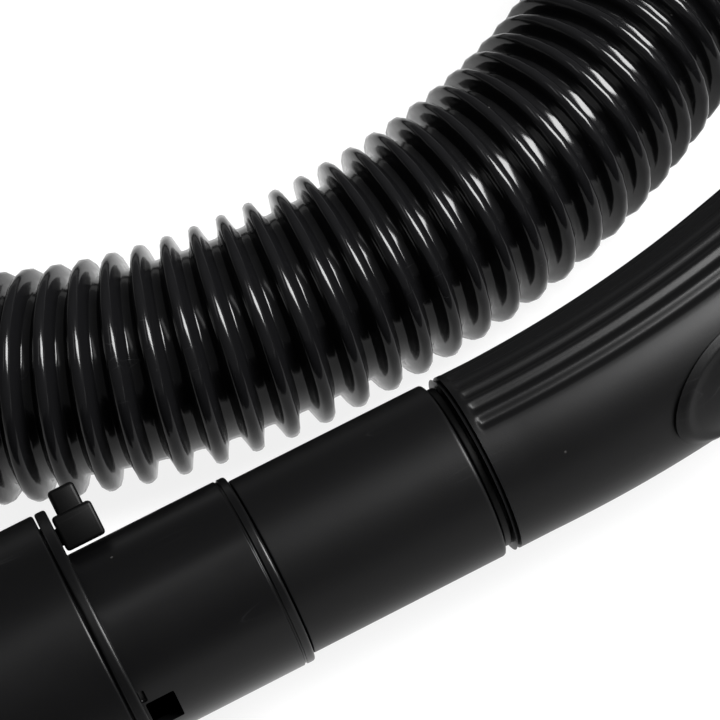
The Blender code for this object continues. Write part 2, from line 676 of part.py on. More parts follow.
def make_bleed(bleed):
    """Oval slide on the outside of the bend, its stem, and the keeper inside the grip."""
    start = PAD_AT - PAD_LENGTH
    end = PAD_AT + PAD_LENGTH
    place = frame_on_grip(PAD_AT)
    top = round_sweep("bleed_slide", lambda s: grip_radius(s) + SLIDE_GAP + PAD_HEIGHT, start, end)
    pad = add_part("bleed_slide", top, Matrix.Identity(4), SATIN_BLACK, bleed)
    under = round_sweep("pad_underside", lambda s: grip_radius(s) + SLIDE_GAP, start - GAP, end + GAP)
    combine(pad, add_cutter("pad_underside", under, Matrix.Identity(4)))
    outline = bmesh.new()
    bmesh.ops.create_cone(outline, cap_ends=True, segments=PAD_SIDES, radius1=0.5, radius2=0.5,
                          depth=GRIP_END_DIAMETER)
    bmesh.ops.scale(outline, vec=(PAD_LENGTH, PAD_WIDTH, 1), verts=outline.verts)
    bmesh.ops.translate(outline, vec=(0, 0, GRIP_END_DIAMETER / 2), verts=outline.verts)
    combine(pad, add_cutter("pad_outline", to_mesh("pad_outline", outline), place), "INTERSECT")

    bore = GRIP_BORE / 2
    keeper_top = bore - SLIDE_GAP
    low = keeper_top - KEEPER_THICKNESS - STEM_END
    high = grip_radius(PAD_AT) + SLIDE_GAP + PAD_HEIGHT / 2
    stem = box_mesh("stem", (STEM_LENGTH, STEM_WIDTH, high - low), (0, 0, (low + high) / 2))
    combine(pad, add_cutter("stem", stem, place), "UNION")

    shape = round_sweep("bleed_keeper", lambda s: keeper_top, start, end)
    keeper = add_part("bleed_keeper", shape, Matrix.Identity(4), ACETAL, bleed)
    hollow = round_sweep("keeper_hollow", lambda s: keeper_top - KEEPER_THICKNESS, start - GAP, end + GAP)
    combine(keeper, add_cutter("keeper_hollow", hollow, Matrix.Identity(4)))
    outline = box_mesh("keeper_outline", (KEEPER_LENGTH, KEEPER_WIDTH, GRIP_BORE), (0, 0, GRIP_BORE / 2))
    combine(keeper, add_cutter("keeper_outline", outline, place), "INTERSECT")
    size = (STEM_LENGTH + 2 * GAP, STEM_WIDTH + 2 * GAP, GRIP_BORE)
    window = box_mesh("keeper_window", size, (0, 0, GRIP_BORE / 2))
    combine(keeper, add_cutter("keeper_window", window, place))


def make_cuff(name, place, parent):
    """Cuff with the hose's socket at its mouth and the swivel's spigot at its other end."""
    rim = AXIS_HEIGHT
    barrel = CUFF_DIAMETER / 2
    shoulder = CUFF_SHOULDER_DIAMETER / 2
    spigot = CUFF_SPIGOT_DIAMETER / 2
    bore = CUFF_SPIGOT_BORE / 2
    seat = HOSE_DIAMETER / 2 + HOSE_CLEARANCE
    outer = spigot_side(spigot, CUFF_LENGTH + GAP, CUFF_LENGTH)
    outer += [(shoulder - EDGE, CUFF_LENGTH), (shoulder, CUFF_LENGTH - EDGE)]
    outer += [(barrel, CUFF_LENGTH - CUFF_SHOULDER_TAPER), (barrel, CUFF_RIM_WIDTH)]
    outer += [(rim, CUFF_RIM_WIDTH - EDGE), (rim, EDGE), (rim - EDGE, 0)]
    inner = [(seat, 0), (seat, CUFF_SOCKET_DEPTH), (HOSE_BORE / 2, CUFF_SOCKET_DEPTH)]
    inner += [(bore, CUFF_LENGTH - CUFF_SHOULDER_TAPER), (bore, CUFF_LENGTH + GAP + SPIGOT_LENGTH)]
    turned(name, outer, inner, place, SATIN_BLACK, parent)


def make_connector(place, parent):
    """Tapered connector with its stop flange, the swivel's socket and the sealing ring."""
    barrel = CONNECTOR_BARREL_DIAMETER / 2
    flange = CONNECTOR_FLANGE_DIAMETER / 2
    root = CONNECTOR_ROOT_DIAMETER / 2
    tip = CONNECTOR_TIP_DIAMETER / 2
    flange_top = CONNECTOR_FLANGE_FROM + CONNECTOR_FLANGE_WIDTH
    top = CONNECTOR_LENGTH
    seal_high = top - CONNECTOR_SEAL_FROM_TIP
    seal_low = seal_high - CONNECTOR_SEAL_WIDTH - 2 * GAP

    def taper(height):
        return float(np.interp(height, (flange_top, top), (root, tip)))

    seat = taper(seal_high) - CONNECTOR_SEAL_DEPTH
    outer = [(tip - EDGE, top), (tip, top - EDGE), (taper(seal_high), seal_high), (seat, seal_high)]
    outer += [(seat, seal_low), (taper(seal_low), seal_low), (root, flange_top), (flange, flange_top)]
    outer += [(flange, CONNECTOR_FLANGE_FROM), (barrel, CONNECTOR_FLANGE_FROM), (barrel, GAP)]
    inner = socket_side(CUFF_SPIGOT_DIAMETER / 2, GAP)
    inner += [(CONNECTOR_BORE / 2, inner[-1][1]), (CONNECTOR_BORE / 2, top)]
    turned("machine_connector", outer, inner, place, SATIN_BLACK, parent)

    inside = seat + GAP
    outside = taper(seal_high) + CONNECTOR_SEAL_PROUD
    low = seal_low + GAP
    high = seal_high - GAP
    outer = [(inside, high), (outside, (low + high) / 2), (inside, low)]
    turned("connector_seal", outer, [], place, RUBBER, parent, RING_STEPS)


def clamped_spline(points, start_heading, end_heading, samples):
    """Smooth plane curve through the points that leaves and arrives along two headings."""
    knots = np.array(points, dtype=float)
    chords = np.linalg.norm(np.diff(knots, axis=0), axis=1)
    count = len(knots)
    system = np.eye(count)
    slopes = np.zeros_like(knots)
    slopes[0] = (cos(start_heading), sin(start_heading))
    slopes[-1] = (cos(end_heading), sin(end_heading))
    for i in range(1, count - 1):
        before, after = chords[i - 1], chords[i]
        system[i, i - 1:i + 2] = (after, 2 * (before + after), before)
        rise = after / before * (knots[i] - knots[i - 1]) + before / after * (knots[i + 1] - knots[i])
        slopes[i] = 3 * rise
    slopes = np.linalg.solve(system, slopes)
    curve = []
    for i, chord in enumerate(chords):
        for u in np.arange(samples) / samples:
            start, end = knots[i], knots[i + 1]
            bend = chord * u * (1 - u)
            blend = u * u * (3 - 2 * u)
            curve.append(start + (end - start) * blend + bend * ((1 - u) * slopes[i] - u * slopes[i + 1]))
    curve.append(knots[-1])
    return np.array(curve)


def hose_line():
    """Dense centre line of the hose, with a straight end in each cuff, and its length so far."""
    inserted = CUFF_SOCKET_DEPTH - GAP
    handle_way = np.array((cos(GRIP_HEADING), sin(GRIP_HEADING)))
    machine_way = np.array((cos(MACHINE_HEADING), sin(MACHINE_HEADING)))
    handle_mouth = np.array(GRIP_END[:2]) + handle_way * (GAP + CUFF_LENGTH)
    machine_mouth = np.array(MACHINE_CUFF_MOUTH)
    leaves = handle_mouth + handle_way * HOSE_DIAMETER
    arrives = machine_mouth - machine_way * HOSE_DIAMETER
    knots = [leaves, *HOSE_ROUTE, arrives]
    free = clamped_spline(knots, GRIP_HEADING, MACHINE_HEADING, HOSE_ROUTE_SAMPLES)
    plane = np.vstack([handle_mouth - handle_way * inserted, free, machine_mouth + machine_way * inserted])
    so_far = np.concatenate([[0], np.cumsum(np.linalg.norm(np.diff(plane, axis=0), axis=1))])
    straight = inserted + HOSE_DIAMETER
    from_end = np.minimum(so_far, so_far[-1] - so_far) - straight
    settled = np.clip(from_end / HOSE_SETTLE_LENGTH, 0, 1)
    drop = settled * settled * (3 - 2 * settled)
    heights = AXIS_HEIGHT + (HOSE_DIAMETER / 2 - AXIS_HEIGHT) * drop
    line = np.column_stack([plane, heights - AXIS_HEIGHT]) + np.array(GROOVE)
    return line, so_far


def read_line(line, so_far, places):
    """Points at given lengths along the line."""
    return [tuple(np.interp(place, so_far, line[:, axis]) for axis in range(3)) for place in places]


def make_hose(parent):
    """Ribbed hose, wide and narrow in turn along its line, with its bore cut out."""
    line, so_far = hose_line()
    length = so_far[-1]
    print(f"flexible_hose: {length:.3f} m long")
    crest = HOSE_DIAMETER / 2
    valley = crest - HOSE_RIB_HEIGHT
    count = 2 * HOSE_RIBS + 1
    points = read_line(line, so_far, np.linspace(0, length, count))
    radii = [valley if i % 2 == 0 else crest for i in range(count)]
    mesh = solid_from_curve("flexible_hose", poly_curve("flexible_hose", points, radii))
    hose = add_part("flexible_hose", mesh, Matrix.Identity(4), GLOSS_VINYL, parent)

    points = [Vector(point) for point in read_line(line, so_far, np.linspace(0, length, HOSE_BORE_POINTS))]
    points[0] += (points[0] - points[1]).normalized() * CUTTER_MARGIN
    points[-1] += (points[-1] - points[-2]).normalized() * CUTTER_MARGIN
    curve = poly_curve("hose_bore", points, [HOSE_BORE / 2] * len(points))
    bore = solid_from_curve("hose_bore", curve)
    combine(hose, add_cutter("hose_bore", bore, Matrix.Identity(4)))


def make_part():
    handle_cuff_end = GRIP_END + Vector((cos(GRIP_HEADING), sin(GRIP_HEADING), 0)) * (GAP + CUFF_LENGTH)
    handle_cuff = along_axis(handle_cuff_end, GRIP_HEADING + pi)
    machine_cuff = along_axis((*MACHINE_CUFF_MOUTH, 0), MACHINE_HEADING)
    shoulder = Matrix.Translation((0, 0, CUFF_LENGTH))

    hose = add_axis("hose", handle_cuff)
    grip = add_axis("handle_swivel", along_axis(GRIP_END, GRIP_HEADING + pi), hose)
    wand = add_axis("wand_swivel", along_axis((GROOVE_WIDTH, 0, 0), 0), grip)
    bend_centre = Vector((GROOVE_WIDTH + GRIP_LEAD, GRIP_BEND_RADIUS, 0))
    bleed = add_axis("bleed_swing", Matrix.Translation(GROOVE + bend_centre), grip)
    machine = add_axis("machine_swivel", machine_cuff @ shoulder, hose)

    make_hose(hose)
    make_cuff("handle_end_cuff", handle_cuff, hose)
    make_cuff("machine_end_cuff", machine_cuff, hose)
    make_grip(grip)
    make_bleed(bleed)
    make_wand(wand)
    make_connector(machine_cuff @ shoulder, machine)

    sleeve_spigot = SLEEVE_SPIGOT_DIAMETER / 2
    cuff_spigot = CUFF_SPIGOT_DIAMETER / 2
    swivels = (
        ("sleeve", sleeve_spigot, GROOVE_WIDTH, along_axis((0, 0, 0), 0), wand),
        ("cuff", cuff_spigot, CUFF_LENGTH + GAP, handle_cuff, hose),
        ("machine", cuff_spigot, CUFF_LENGTH + GAP, machine_cuff, hose),
    )
    for name, radius, mouth, place, parent in swivels:
        make_snap_ring(name + "_snap_ring", radius, mouth, place, parent)
        make_o_ring(name + "_o_ring", radius, mouth, place, parent)


def keep_shapes():
    """Turn each piece's modifiers into its mesh, smooth but for its sharp edges."""
    bpy.context.view_layer.update()
    scene = bpy.context.evaluated_depsgraph_get()
    shapes = {}
    for piece in PART.objects:
        if piece.type == "MESH":
            shapes[piece] = bpy.data.meshes.new_from_object(piece.evaluated_get(scene))
    for piece, mesh in shapes.items():
        piece.modifiers.clear()
        piece.data = mesh
        mesh.shade_smooth()
        mesh.set_sharp_from_angle(angle=SMOOTH_ANGLE)


for leftover in list(bpy.data.objects):
    bpy.data.objects.remove(leftover)
bpy.context.scene.collection.children.link(PART)
bpy.context.scene.collection.children.link(CUTTERS)
make_part()
keep_shapes()
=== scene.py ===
# Looks of the vacuum cleaner hose and its curved handle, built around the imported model.
# Metres, in the CAD frame: the wand lies along X and everything rests on Z = 0.

import bmesh
import bpy
import numpy as np
from math import asin, cos, pi, radians, sin
from mathutils import Matrix, Vector


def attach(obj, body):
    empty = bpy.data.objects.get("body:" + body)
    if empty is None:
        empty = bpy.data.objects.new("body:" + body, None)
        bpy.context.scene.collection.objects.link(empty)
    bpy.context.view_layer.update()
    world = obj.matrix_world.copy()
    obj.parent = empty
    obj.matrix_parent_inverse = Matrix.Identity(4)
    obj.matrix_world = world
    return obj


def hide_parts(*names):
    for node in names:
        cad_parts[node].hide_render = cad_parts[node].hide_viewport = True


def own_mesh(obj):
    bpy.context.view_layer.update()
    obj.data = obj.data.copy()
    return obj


bpy.context.scene.view_settings.view_transform = "Standard"
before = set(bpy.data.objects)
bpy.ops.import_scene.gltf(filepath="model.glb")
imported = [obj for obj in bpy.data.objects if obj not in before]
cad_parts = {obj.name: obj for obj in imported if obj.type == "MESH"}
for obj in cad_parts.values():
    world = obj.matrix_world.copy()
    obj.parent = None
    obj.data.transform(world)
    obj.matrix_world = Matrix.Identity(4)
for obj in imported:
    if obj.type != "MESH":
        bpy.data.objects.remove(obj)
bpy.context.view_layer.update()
print("frame loaded:", len(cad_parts), "nodes")

groove = Vector((-0.021022, -0.021505, 0.028))  # swivel groove: the handle's measures start here

# Scene, node and mesh helpers


def addObject(name, data):
    made = bpy.data.objects.new(name, data)
    bpy.context.scene.collection.objects.link(made)
    return made


def addNode(tree, kind, inputs=None, **settings):
    made = tree.nodes.new(kind)
    for name, value in settings.items():
        setattr(made, name, value)
    for key, value in (inputs or {}).items():
        if isinstance(value, bpy.types.NodeSocket):
            tree.links.new(value, made.inputs[key])
        else:
            made.inputs[key].default_value = value
    return made


# First output of a new node
def feed(tree, kind, inputs=None, **settings):
    return addNode(tree, kind, inputs, **settings).outputs[0]


def calc(tree, operation, *values):
    return feed(tree, "ShaderNodeMath", dict(enumerate(values)), operation=operation)


def times(tree, product, *values):
    for value in values:
        product = calc(tree, "MULTIPLY", product, value)
    return product


def calcVector(tree, operation, *values):
    inputs = dict(enumerate(values))
    if operation == "SCALE":
        inputs["Scale"] = inputs.pop(1)
    made = addNode(tree, "ShaderNodeVectorMath", inputs, operation=operation)
    return made.outputs["Value" if operation == "LENGTH" else "Vector"]


def mapRange(tree, value, low, high, start=0.0, end=1.0, kind="LINEAR"):
    inputs = {"Value": value, "From Min": low, "From Max": high, "To Min": start, "To Max": end}
    return feed(tree, "ShaderNodeMapRange", inputs, interpolation_type=kind)


def mixColour(tree, share, first, second):
    return addNode(tree, "ShaderNodeMix", {0: share, 6: first, 7: second}, data_type="RGBA").outputs[2]


def makeNoise(tree, place, scale, detail, roughness=0.5):
    inputs = {"Vector": place, "Scale": scale, "Detail": detail, "Roughness": roughness}
    return addNode(tree, "ShaderNodeTexNoise", inputs).outputs["Fac"]


def objectPlace(tree):
    return addNode(tree, "ShaderNodeTexCoord").outputs["Object"]


def newTree(name, kind, takes, gives):
    tree = bpy.data.node_groups.new(name, kind)
    for label, socketType, *value in takes:
        socket = tree.interface.new_socket(label, in_out="INPUT", socket_type="NodeSocket" + socketType)
        if value:
            socket.default_value = value[0]
    for label, socketType in gives:
        tree.interface.new_socket(label, in_out="OUTPUT", socket_type="NodeSocket" + socketType)
    return tree, addNode(tree, "NodeGroupInput").outputs, addNode(tree, "NodeGroupOutput").inputs


def newMaterial(name):
    material = bpy.data.materials.new(name)
    material.use_nodes = True
    return material, material.node_tree, material.node_tree.nodes["Principled BSDF"]


sharpAngle = radians(40)


def shadeMesh(mesh):
    mesh.shade_smooth()
    mesh.set_sharp_from_angle(angle=sharpAngle)


def meshFrom(name, shape):
    bmesh.ops.recalc_face_normals(shape, faces=shape.faces)
    mesh = bpy.data.meshes.new(name)
    shape.to_mesh(mesh)
    shape.free()
    shadeMesh(mesh)
    return mesh


def spin(angle, axis):
    return Matrix.Rotation(angle, 4, axis)


def circle(radius, height, steps):
    turns = [2 * pi * i / steps for i in range(steps)]
    return [Vector((radius * cos(turn), radius * sin(turn), height)) for turn in turns]


# Quads from each ring of points to the next
def skinRings(shape, rings, closed=True):
    loops = [[shape.verts.new(point) for point in ring] for ring in rings]
    for near, far in zip(loops, loops[1:] + (loops[:1] if closed else [])):
        for i in range(len(near)):
            shape.faces.new((near[i - 1], near[i], far[i], far[i - 1]))
    return loops


# Camera and stage

view = {
    "place": (-0.09298, -0.36906, 0.49014), "pan": radians(-9.88), "tilt": radians(40),
    "roll": radians(-19), "angle": radians(13), "clipStart": 0.01,
}


def aimCamera():
    data = bpy.data.cameras.new("camera")
    data.angle = view["angle"]
    data.clip_start = view["clipStart"]
    camera = addObject("camera", data)
    turn = spin(view["pan"], "Z") @ spin(view["tilt"], "X") @ spin(view["roll"], "Z")
    camera.matrix_world = Matrix.Translation(view["place"]) @ turn
    bpy.context.scene.camera = camera


aimCamera()

stage = {
    "middle": 0.5, "radius": 7.0, "cove": 0.6, "coveSteps": 8, "wall": 1.6, "steps": 96,
    "floorColour": (0.92, 0.92, 0.92, 1), "glowColour": (1, 1, 1, 1), "paintedDimColour": (0.55, 0.55, 0.55, 1),
    # a pool of light is painted on the paper: full colour round the pool centre, fading to a painted dimmer
    # grey beyond its reach
    "paintedLightPoolCentre": (0.03, 0.12, 0.0), "paintedLightPoolReach": (0.3, 1.5), "shownShare": 0.86,
    "worldColour": (0.8, 0.8, 0.82, 1), "worldStrength": 0.24,
}


def makeStage():
    edge, cove = stage["radius"], stage["cove"]
    outline = [(stage["middle"], 0.0), (edge, 0.0)]
    for i in range(1, stage["coveSteps"] + 1):
        turn = pi / 2 * i / stage["coveSteps"]
        outline.append((edge + cove * sin(turn), cove * (1 - cos(turn))))
    outline.append((edge + cove, stage["wall"]))
    shape = bmesh.new()
    rings = [circle(radius, height, stage["steps"]) for radius, height in outline]
    shape.faces.new(skinRings(shape, rings, closed=False)[0])
    backdrop = addObject("backdrop", meshFrom("backdrop", shape))
    material, tree, shader = newMaterial("backdropPaper")
    tree.nodes.remove(shader)
    # camera, mirror and glass rays see a glowing paper, all others a plain one
    path = addNode(tree, "ShaderNodeLightPath").outputs
    seen = calc(tree, "MAXIMUM", path["Is Camera Ray"], path["Is Glossy Ray"])
    seen = calc(tree, "MAXIMUM", seen, path["Is Transmission Ray"])
    share = times(tree, seen, stage["shownShare"])
    # painted pool of light: the paper's colour and its glow fade from the pool centre to a painted dimmer
    # grey further out
    away = calcVector(tree, "LENGTH", calcVector(tree, "SUBTRACT", objectPlace(tree), stage["paintedLightPoolCentre"]))
    fade = mapRange(tree, away, *stage["paintedLightPoolReach"], kind="SMOOTHSTEP")
    tone = mixColour(tree, fade, stage["floorColour"], stage["paintedDimColour"])
    glow = mixColour(tree, fade, stage["glowColour"], stage["paintedDimColour"])
    paper = feed(tree, "ShaderNodeBsdfDiffuse", {"Color": tone})
    white = feed(tree, "ShaderNodeEmission", {"Color": glow, "Strength": 1.0})
    mixed = feed(tree, "ShaderNodeMixShader", {0: share, 1: paper, 2: white})
    tree.links.new(mixed, tree.nodes["Material Output"].inputs["Surface"])
    backdrop.data.materials.append(material)
    world = bpy.data.worlds.new("studio")
    world.use_nodes = True
    background = world.node_tree.nodes["Background"]
    background.inputs["Color"].default_value = stage["worldColour"]
    background.inputs["Strength"].default_value = stage["worldStrength"]
    bpy.context.scene.world = world


makeStage()

lamps = {
    # name: azimuth from +Y towards +X, elevation, distance, width, height, watts
    "frontSoftbox": (119, 47, 1.3, 0.50, 0.80, 54.0),
    "topStrip": (-140, 80, 1.3, 0.16, 0.60, 1.0),
    "ceilingFill": (10, 72, 2.2, 2.6, 2.2, 1.0),
}
lampTarget = Vector((0.0, 0.05, 0.02))


def hangLamps():
    for name, (azimuth, elevation, distance, width, height, watts) in lamps.items():
        data = bpy.data.lights.new(name, "AREA")
        data.shape = "RECTANGLE"
        data.size = width
        data.size_y = height
        data.energy = watts
        level = cos(radians(elevation))
        way = Vector((level * sin(radians(azimuth)), level * cos(radians(azimuth)),
                      sin(radians(elevation))))
        turn = way.to_track_quat("Z", "Y").to_matrix().to_4x4()
        addObject(name, data).matrix_world = Matrix.Translation(lampTarget + way * distance) @ turn


hangLamps()
print("camera, backdrop and lamps set")

# Finishes


grain = {"detail": 3.0, "roughness": 0.6, "waveScale": 55.0, "waveDetail": 1.0}
wear = {
    "patchScale": 38.0, "patchDetail": 5.0, "patchRoughness": 0.62,
    "hairTurn": (0.3, 0.2, 0.6), "hairStretch": (30.0, 260.0, 260.0), "hairLevel": 0.63, "hairWidth": 0.006,
    "hairPatchScale": 60.0, "hairPatch": (0.56, 0.66), "hairRoughness": 0.25,
    "speckScale": 210.0, "speckEdge": (0.03, 0.07), "speckChosen": 0.93, "speckSlope": (0.2, 0.7),
    "smoothest": 0.03,
}


def makeMouldGrain():
    takes = (("Vector", "Vector"), ("Size", "Float", 0.0004), ("Depth", "Float", 0.00002),
             ("Waviness", "Float", 0.0))
    tree, taken, given = newTree("mouldGrain", "ShaderNodeTree", takes, (("Normal", "Vector"),))
    scale = calc(tree, "DIVIDE", 1.0, taken["Size"])
    fine = makeNoise(tree, taken["Vector"], scale, grain["detail"], grain["roughness"])
    broad = makeNoise(tree, taken["Vector"], grain["waveScale"], grain["waveDetail"])
    wavy = calc(tree, "MULTIPLY_ADD", broad, taken["Waviness"], fine)
    bump = addNode(tree, "ShaderNodeBump", {"Strength": 1.0, "Distance": taken["Depth"], "Height": wavy})
    tree.links.new(bump.outputs["Normal"], given["Normal"])
    return tree


def makeHandlingWear():
    takes = (("Vector", "Vector"), ("Roughness", "Float", 0.3), ("Patchiness", "Float", 0.1),
             ("Scratches", "Float", 0.5), ("Dust", "Float", 0.5))
    gives = (("Roughness", "Float"), ("Scratch", "Float"), ("Dust", "Float"))
    tree, taken, given = newTree("handlingWear", "ShaderNodeTree", takes, gives)
    patch = makeNoise(tree, taken["Vector"], wear["patchScale"], wear["patchDetail"], wear["patchRoughness"])
    swing = times(tree, calc(tree, "SUBTRACT", patch, 0.5), taken["Patchiness"])
    # hairline scratches: thin level lines of a stretched noise
    turned = addNode(tree, "ShaderNodeMapping", {"Vector": taken["Vector"], "Rotation": wear["hairTurn"],
                                                 "Scale": wear["hairStretch"]}).outputs[0]
    lines = makeNoise(tree, turned, 1.0, 0.0)
    near = calc(tree, "ABSOLUTE", calc(tree, "SUBTRACT", lines, wear["hairLevel"]))
    hair = mapRange(tree, near, 0.0, wear["hairWidth"], 1.0, 0.0)
    some = mapRange(tree, makeNoise(tree, taken["Vector"], wear["hairPatchScale"], 0.0), *wear["hairPatch"])
    scratch = times(tree, hair, some, taken["Scratches"])
    # specks of dust lie on what faces up
    inputs = {"Vector": taken["Vector"], "Scale": wear["speckScale"]}
    specks = addNode(tree, "ShaderNodeTexVoronoi", inputs).outputs
    dot = mapRange(tree, specks["Distance"], *wear["speckEdge"], 1.0, 0.0)
    pick = feed(tree, "ShaderNodeSeparateColor", {0: specks["Color"]})
    chosen = calc(tree, "GREATER_THAN", pick, wear["speckChosen"])
    normal = addNode(tree, "ShaderNodeNewGeometry").outputs["Normal"]
    up = addNode(tree, "ShaderNodeSeparateXYZ", {0: normal}).outputs[2]
    top = mapRange(tree, up, *wear["speckSlope"])
    dust = times(tree, dot, chosen, top, taken["Dust"])
    rough = calc(tree, "ADD", calc(tree, "ADD", taken["Roughness"], swing),
                 times(tree, scratch, wear["hairRoughness"]))
    tree.links.new(calc(tree, "MAXIMUM", rough, wear["smoothest"]), given["Roughness"])
    tree.links.new(scratch, given["Scratch"])
    tree.links.new(dust, given["Dust"])
    return tree


mouldGrain = makeMouldGrain()
handlingWear = makeHandlingWear()

# colour, refraction, roughness, patchiness, grain size and depth, waviness, scratches, dust
finishes = {
    "hoseVinyl": ((0.0032, 0.0032, 0.0035), 1.29, 0.15, 0.06, 0.0009, 0.000006, 1.5, 0.25, 0.35),
    "gripPlastic": ((0.002, 0.002, 0.0021), 1.23, 0.38, 0.10, 0.00035, 0.000012, 0.5, 0.2, 0.06),
    "tubePlastic": ((0.0015, 0.0015, 0.0016), 1.26, 0.30, 0.10, 0.0005, 0.000006, 1.2, 0.12, 0.06),
    "collarPlastic": ((0.0012, 0.0012, 0.0013), 1.25, 0.34, 0.14, 0.00045, 0.000010, 1.0, 0.35, 0.1),
    "latchPlastic": ((0.0008, 0.0008, 0.0008), 1.18, 0.42, 0.08, 0.00035, 0.000012, 0.3, 0.2, 0.05),
    "cuffPlastic": ((0.005, 0.005, 0.0052), 1.30, 0.34, 0.10, 0.0004, 0.000012, 0.6, 0.4, 0.3),
    "ringPlastic": ((0.05, 0.05, 0.055), 1.46, 0.42, 0.05, 0.0004, 0.000008, 0.3, 0.1, 0.0),
    "sealRubber": ((0.012, 0.012, 0.012), 1.46, 0.62, 0.12, 0.0005, 0.000012, 0.5, 0.0, 0.2),
}
dustColour = (0.5, 0.49, 0.47, 1)
ink = {}


# Scratches lighten the colour
def mixFinishes():
    for name, values in finishes.items():
        colour, refraction, roughness, patchiness, size, depth, waviness, scratches, dust = values
        material, tree, shader = newMaterial(name)
        place = objectPlace(tree)
        inputs = {"Vector": place, "Size": size, "Depth": depth, "Waviness": waviness}
        moulded = addNode(tree, "ShaderNodeGroup", inputs, node_tree=mouldGrain).outputs
        inputs = {"Vector": place, "Roughness": roughness, "Patchiness": patchiness, "Scratches": scratches,
                  "Dust": dust}
        handled = addNode(tree, "ShaderNodeGroup", inputs, node_tree=handlingWear).outputs
        rubbed = tuple(min(1, channel * 3 + 0.02) for channel in colour)
        worn = mixColour(tree, handled["Scratch"], (*colour, 1), (*rubbed, 1))
        dusted = mixColour(tree, handled["Dust"], worn, dustColour)
        tree.links.new(dusted, shader.inputs["Base Color"])
        tree.links.new(handled["Roughness"], shader.inputs["Roughness"])
        tree.links.new(moulded["Normal"], shader.inputs["Normal"])
        shader.inputs["IOR"].default_value = refraction
        ink[name] = material


steel = {"drawn": (400.0, 4000.0, 4000.0), "dark": (0.42, 0.42, 0.43, 1), "light": (0.66, 0.66, 0.67, 1),
         "roughness": (0.2, 0.38)}


def mixSpringSteel():
    material, tree, shader = newMaterial("springSteel")
    shader.inputs["Metallic"].default_value = 1.0
    inputs = {"Vector": objectPlace(tree), "Scale": steel["drawn"]}
    lines = makeNoise(tree, feed(tree, "ShaderNodeMapping", inputs), 1.0, 2.0)
    tree.links.new(mixColour(tree, lines, steel["dark"], steel["light"]), shader.inputs["Base Color"])
    tree.links.new(mapRange(tree, lines, 0.0, 1.0, *steel["roughness"]), shader.inputs["Roughness"])
    ink["springSteel"] = material


mixFinishes()
mixSpringSteel()
print("finishes mixed:", len(ink))

# Pieces and their solids


def keepPiece(name, mesh, finish):
    piece = addObject(name, mesh)
    mesh.materials.clear()
    mesh.materials.append(ink[finish])
    return piece


def declare(piece, body, node):
    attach(piece, body)
    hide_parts(node)


def alongAxis(point, heading):
    turn = spin(heading, "Z") @ spin(pi / 2, "Y")
    return Matrix.Translation(groove + Vector(point)) @ turn


def onWand(along, elevation):
    return Matrix.Translation(groove + Vector((along, 0, 0))) @ spin(pi / 2 - elevation, "X")


corner = {"reach": 0.42, "lead": 0.3, "steps": 4}


# Round a closed outline's corners: each point is (radius, along, how much of the corner is cut)
def softenOutline(outline):
    points = []
    for i, (radius, along, soft) in enumerate(outline):
        tip = Vector((radius, along))
        if soft == 0:
            points.append(tip)
            continue
        before = Vector(outline[i - 1][:2]) - tip
        after = Vector(outline[(i + 1) % len(outline)][:2]) - tip
        reach = min(soft, corner["reach"] * before.length, corner["reach"] * after.length)
        start = tip + before.normalized() * reach
        end = tip + after.normalized() * reach
        points.append(start + before.normalized() * reach * corner["lead"])
        for k in range(corner["steps"] + 1):
            t = k / corner["steps"]
            points.append(start * (1 - t) ** 2 + tip * 2 * t * (1 - t) + end * t * t)
        points.append(end + after.normalized() * reach * corner["lead"])
    return points


def latheMesh(name, outline, place, steps=128):
    shape = bmesh.new()
    skinRings(shape, [[place @ point for point in circle(radius, along, steps)]
                      for radius, along in softenOutline(outline)])
    bmesh.ops.remove_doubles(shape, verts=shape.verts, dist=0.000001)
    return meshFrom(name, shape)


def turnPiece(name, outline, place, finish, body, node, steps=128):
    piece = keepPiece(name, latheMesh(name, outline, place, steps), finish)
    declare(piece, body, node)
    return piece


def carve(piece, mesh, operation="DIFFERENCE"):
    tool = addObject("tool", mesh)
    modifier = piece.modifiers.new("carve", "BOOLEAN")
    modifier.operation = operation
    modifier.solver = "EXACT"
    modifier.object = tool
    bpy.context.view_layer.update()
    carved = bpy.data.meshes.new_from_object(piece.evaluated_get(bpy.context.evaluated_depsgraph_get()))
    piece.modifiers.clear()
    piece.data = carved
    bpy.data.objects.remove(tool)
    shadeMesh(carved)


def softBox(name, size, centre, place, edge):
    shape = bmesh.new()
    bmesh.ops.create_cube(shape, size=1)
    bmesh.ops.scale(shape, vec=size, verts=shape.verts)
    bmesh.ops.translate(shape, vec=centre, verts=shape.verts)
    bmesh.ops.bevel(shape, geom=shape.edges[:], offset=edge, segments=3, profile=0.5, affect="EDGES")
    bmesh.ops.transform(shape, matrix=place, verts=shape.verts)
    return meshFrom(name, shape)


def rodMesh(name, radius, start, end, height, place, edge=0.0002, sides=32):
    shape = bmesh.new()
    bmesh.ops.create_cone(shape, cap_ends=True, segments=sides, radius1=radius, radius2=radius,
                          depth=end - start)
    if edge:
        rims = [rim for rim in shape.edges if abs(rim.verts[0].co.z - rim.verts[1].co.z) < 1e-7]
        bmesh.ops.bevel(shape, geom=rims, offset=edge, segments=2, profile=0.5, affect="EDGES")
    bmesh.ops.rotate(shape, matrix=Matrix.Rotation(pi / 2, 3, "Y"), verts=shape.verts)
    bmesh.ops.translate(shape, vec=((start + end) / 2, 0, height), verts=shape.verts)
    bmesh.ops.transform(shape, matrix=place, verts=shape.verts)
    return meshFrom(name, shape)


def runTree(name, mesh, tree, values):
    holder = addObject(name + "Route", mesh)
    modifier = holder.modifiers.new(tree.name, "NODES")
    modifier.node_group = tree
    for item in tree.interface.items_tree:
        if item.item_type == "SOCKET" and item.in_out == "INPUT" and item.name in values:
            modifier[item.identifier] = values[item.name]
    bpy.context.view_layer.update()
    made = bpy.data.meshes.new_from_object(holder.evaluated_get(bpy.context.evaluated_depsgraph_get()))
    bpy.data.objects.remove(holder)
    return made


# Grip's centre line

